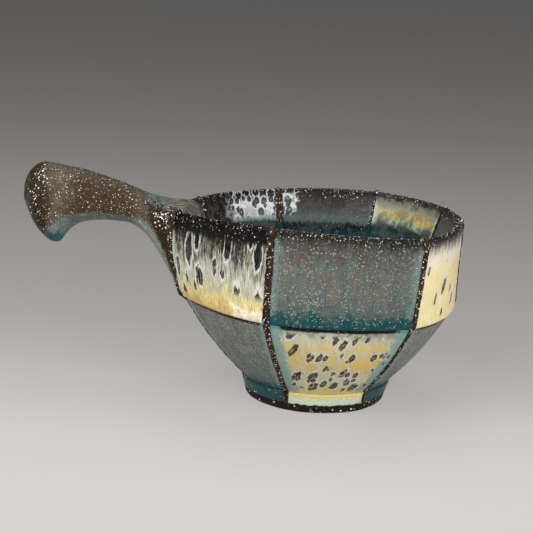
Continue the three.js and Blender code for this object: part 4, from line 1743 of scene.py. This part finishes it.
@dataclass
class FootAndFloor(Assembly):
    """The turned foot ring and the floor set on it."""

    bore_radius: float = 27.0
    band: float = 4.4
    edge: float = 0.8
    glaze_step: float = 0.25
    glaze_top: float = 9.4
    boss_gap: float = 0.45
    floor_thickness: float = 6.0
    floor_boss: float = 4.0
    floor_dish: float = 1.0
    floor_rise: float = 1.6
    floor_power: int = 6
    floor_share: float = 0.15
    floor_steps: int = 14
    edge_cut: float = 0.25
    band_clear: float = 0.3
    band_steps: int = 6
    glaze_clear: float = 0.1
    glaze_steps: int = 7
    top_inset: float = 0.7
    top_rise: float = 0.5
    turns: int = 160

    def glaze(self, points: np.ndarray) -> np.ndarray:
        """Values that the glaze reads at points about the axis.

        Args:
            points: The points.

        Returns:
            At each, its distance from the nearer seam, its height and whether the panel above is a warm one.
        """
        warm = np.zeros(len(points))
        edge = np.full(len(points), 99.0)
        azimuth = np.degrees(np.arctan2(points[:, 1], points[:, 0]))
        for i, (first, second) in enumerate(self.shape.pairs()):
            span = (second.azimuth - first.azimuth) % 360
            off = (azimuth - first.azimuth) % 360
            inside = off < span
            warm[inside] = i % 2
            reach = np.radians(np.minimum(off, span - off)) * np.linalg.norm(points[:, :2], axis=1)
            edge[inside] = reach[inside]
        return np.stack([edge, points[:, 2], warm], axis=1)

    def turned(self, name: str, profile: Sequence[Span], closed: bool) -> Piece:
        """Turns a profile about the axis.

        Args:
            name: Name of the piece.
            profile: Radius and height of its points, with the axis at both ends where it isn't closed.
            closed: Whether the profile is a ring.

        Returns:
            The piece.
        """
        angles = np.linspace(0, 2 * math.pi, self.turns, endpoint=False)
        around = np.stack([np.cos(angles), np.sin(angles)], axis=1)
        rows = profile if closed else profile[1:-1]
        points = np.array([[radius * c, radius * s, height] for radius, height in rows for c, s in around])
        faces = Maker.lofted(len(rows), self.turns, ends=False, ring=closed)
        if not closed:
            tips = np.array([[0, 0, profile[0][1]], [0, 0, profile[-1][1]]])
            last = (len(rows) - 1) * self.turns
            bottom, top = len(points), len(points) + 1
            points = np.concatenate([points, tips])
            for i in range(self.turns):
                j = (i + 1) % self.turns
                faces.append((i, bottom, j))
                faces.append((last + i, last + j, top))
        points = self.shape.by_hand(points)
        return self.maker.mesh(name, points, faces, self.glaze(points))

    def build(self) -> None:
        """Makes and dresses the foot ring and the floor."""
        shape, bore, edge = self.shape, self.bore_radius, self.edge
        height, base = shape.foot_height, shape.foot_base_radius
        lean = (shape.foot_top_radius - base) / height
        cut = self.edge_cut * edge
        outside = [(base + lean * z, z)
                   for z in np.linspace(edge, self.band - self.band_clear, self.band_steps)]
        glazed = [(base + lean * z + self.glaze_step, z)
                  for z in np.linspace(self.band + self.glaze_clear, self.glaze_top, self.glaze_steps)]
        shelf = (shape.foot_top_radius - self.top_inset, height + self.top_rise)
        ring = [(bore + edge, 0.0), (base - edge, 0.0), (base - cut, cut), *outside, *glazed, shelf,
                (bore, height), (bore, edge)]
        dress(self.turned("foot_ring_turned", ring, True), Slot.FOOT, [self.palette.foot], "foot_ring")
        seat = height + shape.joint_gap
        low, top = seat - self.floor_boss, seat + self.floor_thickness
        wall = float(shape.lower_inner(np.array([self.floor_share])).radius[0])
        dish = self.floor_dish
        rise = [(wall * t, top - dish + (dish + self.floor_rise * t ** self.floor_power) * t * t)
                for t in np.linspace(0.1, 1.0, self.floor_steps)]
        boss = bore - self.boss_gap
        floor = [(0.0, low), (boss - edge, low), (boss, low + edge), (boss, seat), (wall, seat),
                 *reversed(rise), (0.0, top - dish)]
        dress(self.turned("floor_disc_glazed", floor, False), Slot.POOL, [self.palette.pool], "floor_disc")


@dataclass
class Section:
    """One section across the handle.

    It is square by squareness above its keel and by keelness below, leans outwards by its tilt in degrees, is
    drawn in to its middle by its scale, and is domed outwards.
    """

    reach: float
    top: float
    bottom: float
    half_width: float
    squareness: float
    keelness: float
    tilt: float = 0.0
    scale: float = 1.0
    out: float = 0.0


@dataclass
class SideHandle(Assembly):
    """The flared side handle, which laps over the rim, and the domed disc on its end."""

    neck_out: float = 26.0
    neck_rise: float = 7.0
    neck_height: float = 17.2
    neck_width: float = 19.0
    neck_squareness: float = 2.4
    neck_keelness: float = 1.7
    neck_blend: float = 0.05
    root_radius: float = 73.1
    root_half_angle: float = 19.2
    root_lap: float = 1.0
    root_clear: float = 1.4
    root_squareness: float = 3.6
    root_keelness: float = 2.2
    grip_length: float = 41.5
    end_rise: float = 17.0
    end_height: float = 39.8
    end_width: float = 31.0
    end_tilt: float = 11.0
    end_keelness: float = 2.0
    hook_share: float = 0.965
    hook_power: float = 4.5
    hook_softness: float = 0.012
    flare_power: float = 1.6
    drop_power: float = 1.5
    top_bulge: float = 1.5
    keel_share: float = 0.26
    saddle_thickness: float = 0.9
    tongue_reach: float = 61.0
    tongue_start: float = 69.4
    tongue_thin: float = 66.6
    tongue_depth: float = 2.4
    tongue_drop: float = 5.2
    tongue_drop_under: float = 4.6
    tongue_width: float = 0.62
    tongue_tip: float = 0.25
    tongue_tip_power: int = 6
    tongue_power: float = 0.8
    tongue_steps: int = 26
    root_steps: int = 44
    grip_steps: int = 60
    cap_gap: float = 0.1
    cap_dome: float = 12.0
    cap_droop: float = 0.47
    cap_crown: float = 4.0
    cap_round: float = 0.8
    cap_steps: int = 20
    turn: float = 179.2
    sides: int = 84
    sharp: float = 60.0
    uneven: float = 0.35
    uneven_size: float = 9.0
    uneven_shifts: Triple = (0.0, 40.0, 80.0)

    @property
    def neck_reach(self) -> float:
        """Distance of the neck from the axis."""
        return self.shape.rim_radius + self.neck_out

    @property
    def neck_top(self) -> float:
        """Height of the neck's top."""
        return self.shape.rim_height + self.neck_rise

    def root(self, share: float) -> Section:
        """Section in the root, which flares from the neck to the rim with a soft start.

        Args:
            share: Place from the neck (0) to the rim (1), or below 0 in the grip.

        Returns:
            The section.
        """
        held = min(1.0, share)
        flare = (held + math.sqrt(held * held + self.neck_blend)) / 2
        half_width = self.root_radius * math.sin(math.radians(self.root_half_angle)) + self.root_lap
        bottom = self.shape.shoulder_height + self.root_clear
        return Section(
            blend(self.neck_reach, self.shape.rim_radius, share),
            blend(self.shape.rim_height + self.saddle_thickness, self.neck_top, (1 - held) ** 2),
            blend(self.neck_top - self.neck_height, bottom, flare ** self.drop_power),
            blend(self.neck_width / 2, half_width, flare ** self.flare_power),
            blend(self.neck_squareness, self.root_squareness, held),
            blend(self.neck_keelness, self.root_keelness, held))

    def grip(self, share: float) -> Section:
        """Section along the grip, at whose end a lip hooks down.

        Args:
            share: Place from the neck (0) to the end (1).

        Returns:
            The section.
        """
        end_top = self.shape.rim_height + self.end_rise
        drop = (share / self.hook_share) ** self.hook_power
        hook = (drop + 1 - math.sqrt((drop - 1) ** 2 + self.hook_softness)) / 2
        neck = self.root(-share * self.grip_length / self.neck_out)
        return Section(
            blend(self.neck_reach, self.neck_reach + self.grip_length, share),
            blend(self.neck_top, end_top, share) + self.top_bulge * crown(share),
            blend(neck.bottom, end_top - self.end_height, hook),
            blend(neck.half_width, self.end_width / 2, share ** self.flare_power),
            self.neck_squareness, blend(self.neck_keelness, self.end_keelness, share),
            self.end_tilt * share ** 2)

    def tongue(self, reach: float) -> Section:
        """Section inside the rim, where the handle thins to a tongue that droops into the bowl.

        Args:
            reach: Its distance from the axis.

        Returns:
            The section.
        """
        section = self.root((self.neck_reach - reach) / self.neck_out)
        inwards = self.tongue_start - reach
        thin = float(smooth(inwards / (self.tongue_start - self.tongue_thin)))
        ease = float(smooth(inwards / (self.tongue_start - self.tongue_reach)))
        section.bottom = blend(section.bottom, self.shape.rim_height - self.tongue_depth, thin)
        section.bottom = section.bottom - self.tongue_drop_under * ease
        section.top = section.top - self.tongue_drop * ease
        section.half_width = section.half_width * blend(1.0, self.tongue_width, ease)
        section.scale = blend(1.0, self.tongue_tip, ease ** self.tongue_tip_power)
        return section

    def outline(self, section: Section) -> tuple[np.ndarray, np.ndarray]:
        """Points round a section and the values that its glaze reads.

        Args:
            section: Its sizes.

        Returns:
            Points, and at each its reach, its rise over the keel and its height.
        """
        turn = np.linspace(0, 2 * math.pi, self.sides, endpoint=False)
        cos, sin = np.cos(turn), np.sin(turn)
        widest = blend(section.bottom, section.top, self.keel_share)
        middle = (section.bottom + section.top) / 2
        power = 2 / np.where(sin < 0, section.keelness, section.squareness)
        tall = np.where(sin < 0, widest - section.bottom, section.top - widest)
        side = np.sign(cos) * np.abs(cos) ** power * section.half_width * section.scale
        rise = np.sign(sin) * np.abs(sin) ** power
        risen = (widest + rise * tall - middle) * section.scale
        lean = math.tan(math.radians(section.tilt))
        lowness = np.clip((self.cap_crown - risen) / (self.cap_crown + middle - section.bottom), 0, 1)
        out = section.out * (1 - self.cap_droop * lowness)
        reach = section.reach + out + risen * lean
        height = middle + risen - out * lean
        angle = math.radians(self.turn)
        points = np.stack([reach * math.cos(angle) - side * math.sin(angle),
                           reach * math.sin(angle) + side * math.cos(angle), height], axis=1)
        return points, np.stack([reach, rise, height], axis=1)

    def loft(self, name: str, sections: Sequence[Section]) -> Piece:
        """Makes and dresses a solid through sections, with a small unevenness.

        Args:
            name: Name of the node that it stands for.
            sections: Its sections in order.

        Returns:
            The piece.
        """
        outlines = [self.outline(section) for section in sections]
        points, glaze = (np.concatenate(part) for part in zip(*outlines))
        turns = [Vector((shift, 0, 0)) for shift in self.uneven_shifts]
        uneven = np.array([[hand.noise(Vector(point) / self.uneven_size + turn) for turn in turns]
                           for point in points])
        piece = self.maker.mesh(f"{name}_glazed", points + self.uneven * uneven,
                                Maker.lofted(len(sections), self.sides), glaze, self.sharp)
        dress(piece, Slot.HANDLE, [self.palette.handle], name)
        return piece

    def build(self) -> list[Piece]:
        """Makes the handle and its end.

        Returns:
            The two pieces.
        """
        shares = np.linspace(0, 1, self.tongue_steps) ** self.tongue_power
        start = (self.neck_reach - self.tongue_start) / self.neck_out
        body = self.loft("handle_body", [
            *(self.tongue(reach) for reach in blend(self.tongue_reach, self.tongue_start, shares)),
            *(self.root(share) for share in np.linspace(start, 0, self.root_steps)[1:]),
            *(self.grip(share) for share in np.linspace(0, 1, self.grip_steps)[1:])])
        domes = [replace(self.grip(1.0), scale=math.cos(angle) ** self.cap_round,
                         out=self.cap_gap + self.cap_dome * math.sin(angle))
                 for angle in np.linspace(0, math.pi / 2, self.cap_steps)[:-1]]
        return [body, self.loft("handle_end_cap", domes)]


@dataclass
class Crystals:
    """White crystals that stand on the dark glaze of the beads, the rim and the handle."""

    material: Material
    bead_density: float = 900000.0
    rim_density: float = 560000.0
    handle_density: float = 330000.0
    knob_density: float = 950000.0
    size: float = 0.24
    knob_size: float = 0.46
    end_size: float = 0.42
    rim_depth: float = 5.0
    thinning: float = 0.6
    bead_seed: int = 11
    rim_seed: int = 31
    handle_seed: int = 51
    end_seed: int = 56
    knob_seed: int = 61
    grip_start: Span = (84.0, 90.0)
    grip_end: Span = (147.0, 145.0)
    side_rise: Span = (-0.1, 0.1)
    top_rise: Span = (0.85, 0.95)
    end_reach: Span = (135.0, 138.0)
    end_rise: Span = (0.1, 0.3)
    knob_start: Span = (72.0, 74.0)
    knob_end: Span = (87.0, 84.0)
    knob_rise: Span = (0.92, 0.82)
    knob_low: Span = (83.0, 86.0)
    knob_high: Span = (91.4, 89.4)

    @staticmethod
    def glaze(piece: Piece) -> np.ndarray:
        """The values that a piece keeps for its glaze.

        Args:
            piece: The piece.

        Returns:
            Three rows with a value for each point.
        """
        flat = np.zeros(len(piece.data.vertices) * 3, dtype=np.float32)
        piece.data.attributes["glaze"].data.foreach_get("vector", flat)
        return flat.reshape(-1, 3).T

    def on_handle(self, tree: CrystalTree, handle: list[Piece]) -> None:
        """Scatters crystals over the handle, larger at its end and on the knob at its root.

        Args:
            tree: The tree that scatters them.
            handle: The handle and its end.
        """
        usual = {"Density": self.handle_density, "Material": self.material}
        for i, piece in enumerate(handle):
            reach, rise, _ = self.glaze(piece)
            share = eased(reach, *self.grip_start) * eased(reach, *self.grip_end)
            share = eased(rise, *self.side_rise) * share * (1 - self.thinning * eased(rise, *self.top_rise))
            end = eased(reach, *self.end_reach) * eased(rise, *self.end_rise)
            tree.scatter(piece, share * (1 - self.thinning * end), Slot.HANDLE,
                         Size=self.size * MM, Seed=self.handle_seed + i, **usual)
            tree.scatter(piece, share * end, Slot.HANDLE, "end_crystals",
                         Size=self.end_size * MM, Seed=self.end_seed + i, **usual)
        reach, rise, level = self.glaze(handle[0])
        knob = eased(reach, *self.knob_end) * eased(reach, *self.knob_start) * eased(rise, *self.knob_rise)
        knob = knob * eased(level, *self.knob_low) * eased(level, *self.knob_high)
        tree.scatter(handle[0], knob, Slot.HANDLE, "knob_crystals", Size=self.knob_size * MM,
                     Seed=self.knob_seed, Density=self.knob_density, Material=self.material)

    def build(self, panels: list[Piece], beads: list[Piece], handle: list[Piece]) -> None:
        """Scatters and dresses the crystals.

        Args:
            panels: The upper panels.
            beads: The joint strips.
            handle: The handle and its end.
        """
        tree = CrystalTree()
        usual = {"Size": self.size * MM, "Material": self.material}
        for i, bead in enumerate(beads):
            pooled = np.zeros(len(bead.data.vertices), dtype=np.float32)
            bead.data.attributes["pooled"].data.foreach_get("value", pooled)
            tree.scatter(bead, 1.0 - pooled, Slot.BROWN, Density=self.bead_density, Seed=self.bead_seed + i,
                         **usual)
        for i, panel in enumerate(panels):
            share = eased(self.glaze(panel)[1], self.rim_depth, 0.0)
            slot = Slot.YELLOW if i % 2 == 0 else Slot.GREY
            tree.scatter(panel, share, slot, Density=self.rim_density, Seed=self.rim_seed + i, **usual)
        self.on_handle(tree, handle)


@dataclass(frozen=True)
class Lamp:
    """A soft square lamp: its place, aim and side in metres, and its power in watts."""

    name: str
    place: Triple
    aim: Triple
    size: float
    power: float

    def hang(self) -> None:
        """Hangs the lamp."""
        data = bpy.data.lights.new(self.name, "AREA")
        data.size = self.size
        data.energy = self.power
        lamp = linked(self.name, data)
        lamp.location = self.place
        lamp.rotation_euler = (Vector(self.aim) - Vector(self.place)).to_track_quat("-Z", "Y").to_euler()


@dataclass
class Studio:
    """Floor, lamps and camera.

    The eye is the camera's place about the bowl's axis. The floor's shades are distances behind that axis and
    greys there, first as the lamps light the floor, then as the camera and reflections show it. Those second
    greys are painted light: the floor glows with them for the camera and reflections only, which paints the
    fall of light towards the back and lifts the bowl's shadow to a faint one.
    """

    maker: Maker
    eye: Triple = (0.0, -568.0, 192.0)
    pitch: float = 12.75
    yaw: float = -2.73
    roll: float = 2.54
    lens: float = 78.69
    sensor: float = 36.0
    floor_size: float = 120.0
    floor_shades: tuple[Span, ...] = (
        (-130, 178), (-35, 176), (20, 164), (106, 150), (200, 143), (338, 140), (791, 139), (1232, 148),
        (2100, 170))
    floor_shown: tuple[Span, ...] = (
        (-130, 216), (-80, 209), (-35, 201), (20, 186), (106, 169), (200, 159), (338, 151), (520, 140),
        (791, 129), (1232, 115), (2100, 105), (4000, 97), (12000, 89))
    floor_glow: float = 0.72
    floor_grey: Triple = (1.0, 0.979, 0.962)
    floor_near: float = 200.0
    floor_cloud: Colour = tint(200, 198, 195)
    floor_cloud_size: float = 260.0
    floor_cloud_share: float = 0.06
    floor_roughness: float = 0.6
    floor_specular: float = 0.1
    world_light: Colour = (0.25, 0.253, 0.26, 1.0)
    world_shown: Colour = (0.0985, 0.0975, 0.0975, 1.0)
    lamps: tuple[Lamp, ...] = (
        Lamp("key", (-0.55, -0.6, 0.95), (0.02, 0.0, 0.05), 0.8, 11.5),
        Lamp("fill", (0.85, -0.7, 0.55), (0.02, 0.0, 0.05), 0.8, 6.4),
        Lamp("front", (0.12, -0.95, 0.26), (0.03, 0.0, 0.04), 0.5, 2.7),
        Lamp("top", (0.1, 0.35, 1.1), (0.02, 0.0, 0.05), 0.6, 6.0),
    )

    def graded(self, w: Wiring, behind: Value, shades: Sequence[Span]) -> Value:
        """Warm grey of the floor, by distance towards the back.

        Args:
            w: Wiring of the floor's material.
            behind: That distance in millimetres.
            shades: Distances and how light the grey is there, 0 to 255.

        Returns:
            The colour.
        """
        start = shades[0][0] - self.floor_near
        span = math.log2((shades[-1][0] - start) / self.floor_near)
        depth = w.math("LOGARITHM", ((behind - start) | self.floor_near) / self.floor_near, 2.0)
        stops = [(math.log2((mm - start) / self.floor_near) / span,
                  tint(*(shade * share for share in self.floor_grey))) for mm, shade in shades]
        return w.ramp(depth / span, stops)

    def floor(self) -> None:
        """Lays a pale floor that darkens behind the bowl, with painted light that glows for the camera and
        reflections and leaves only a faint shadow.
        """
        bpy.ops.mesh.primitive_plane_add(size=self.floor_size, location=(0, 0, 0))
        floor = bpy.context.object
        floor.name = "floor"
        material = new_material("pale_floor")
        w = Wiring(material.node_tree)
        place = w.place_mm()
        behind = w.split(place)[1]
        rays = w.node("ShaderNodeLightPath").outputs
        camera, glossy, through = (
            Value(w, rays[name]) for name in ("Is Camera Ray", "Is Glossy Ray", "Is Transmission Ray"))
        # Painted light: camera and reflection rays see the floor partly as a glow, which fills in most of its
        # shadow
        shown = (camera | glossy | through) * self.floor_glow
        cloudy = w.noise(place, self.floor_cloud_size) * self.floor_cloud_share
        lit = w.mix(cloudy, self.graded(w, behind, self.floor_shades), self.floor_cloud)
        shader = w.value("ShaderNodeBsdfPrincipled", None, {
            "Base Color": w.mix(shown, lit, (0.0, 0.0, 0.0, 1.0)), "Roughness": self.floor_roughness,
            "Specular IOR Level": self.floor_specular, "Emission Strength": shown,
            "Emission Color": self.graded(w, behind, self.floor_shown)})
        w.node("ShaderNodeOutputMaterial", None, {0: shader})
        floor.data.materials.append(material)

    def light(self) -> None:
        """Sets the lamps and a plain grey world."""
        world = bpy.data.worlds.new("studio")
        world.use_nodes = True
        w = Wiring(world.node_tree)
        rays = w.node("ShaderNodeLightPath").outputs
        shown = Value(w, rays["Is Camera Ray"]) | Value(w, rays["Is Glossy Ray"])
        seen = w.mix(shown, self.world_light, self.world_shown)
        world.node_tree.links.new(seen.socket, world.node_tree.nodes["Background"].inputs[0])
        bpy.context.scene.world = world
        for lamp in self.lamps:
            lamp.hang()

    def camera(self) -> None:
        """Stands the camera where the photograph was taken from."""
        pitch, yaw, roll = (math.radians(angle) for angle in (self.pitch, self.yaw, self.roll))
        forward = Vector((math.sin(yaw) * math.cos(pitch), math.cos(yaw) * math.cos(pitch), -math.sin(pitch)))
        level = Vector((math.cos(yaw), -math.sin(yaw), 0.0))
        upright = level.cross(forward)
        right = math.cos(roll) * level + math.sin(roll) * upright
        up = math.cos(roll) * upright - math.sin(roll) * level
        data = bpy.data.cameras.new("camera")
        data.lens = self.lens
        data.sensor_width = self.sensor
        camera = linked("camera", data)
        turn = Matrix((right, up, -forward)).transposed().to_4x4()
        camera.matrix_world = Matrix.Translation(Vector(np.array(self.eye) * MM + self.maker.axis)) @ turn
        bpy.context.scene.camera = camera

    def build(self) -> None:
        """Sets up the whole studio."""
        self.floor()
        self.light()
        self.camera()
        bpy.context.scene.view_settings.view_transform = "Standard"


def main() -> None:
    """Builds the bowl and its studio."""
    logging.basicConfig(level=logging.INFO, format="%(name)s: %(message)s")
    maker = Maker()
    shape = WallShape()
    palette = Palette()
    panels = PanelledWall(maker, shape, palette).build()
    beads = JointStrips(maker, shape, palette).build()
    FootAndFloor(maker, shape, palette).build()
    handle = SideHandle(maker, shape, palette).build()
    Crystals(palette.crystal).build(panels, beads, handle)
    Studio(maker).build()


if __name__ == "__main__":
    main()
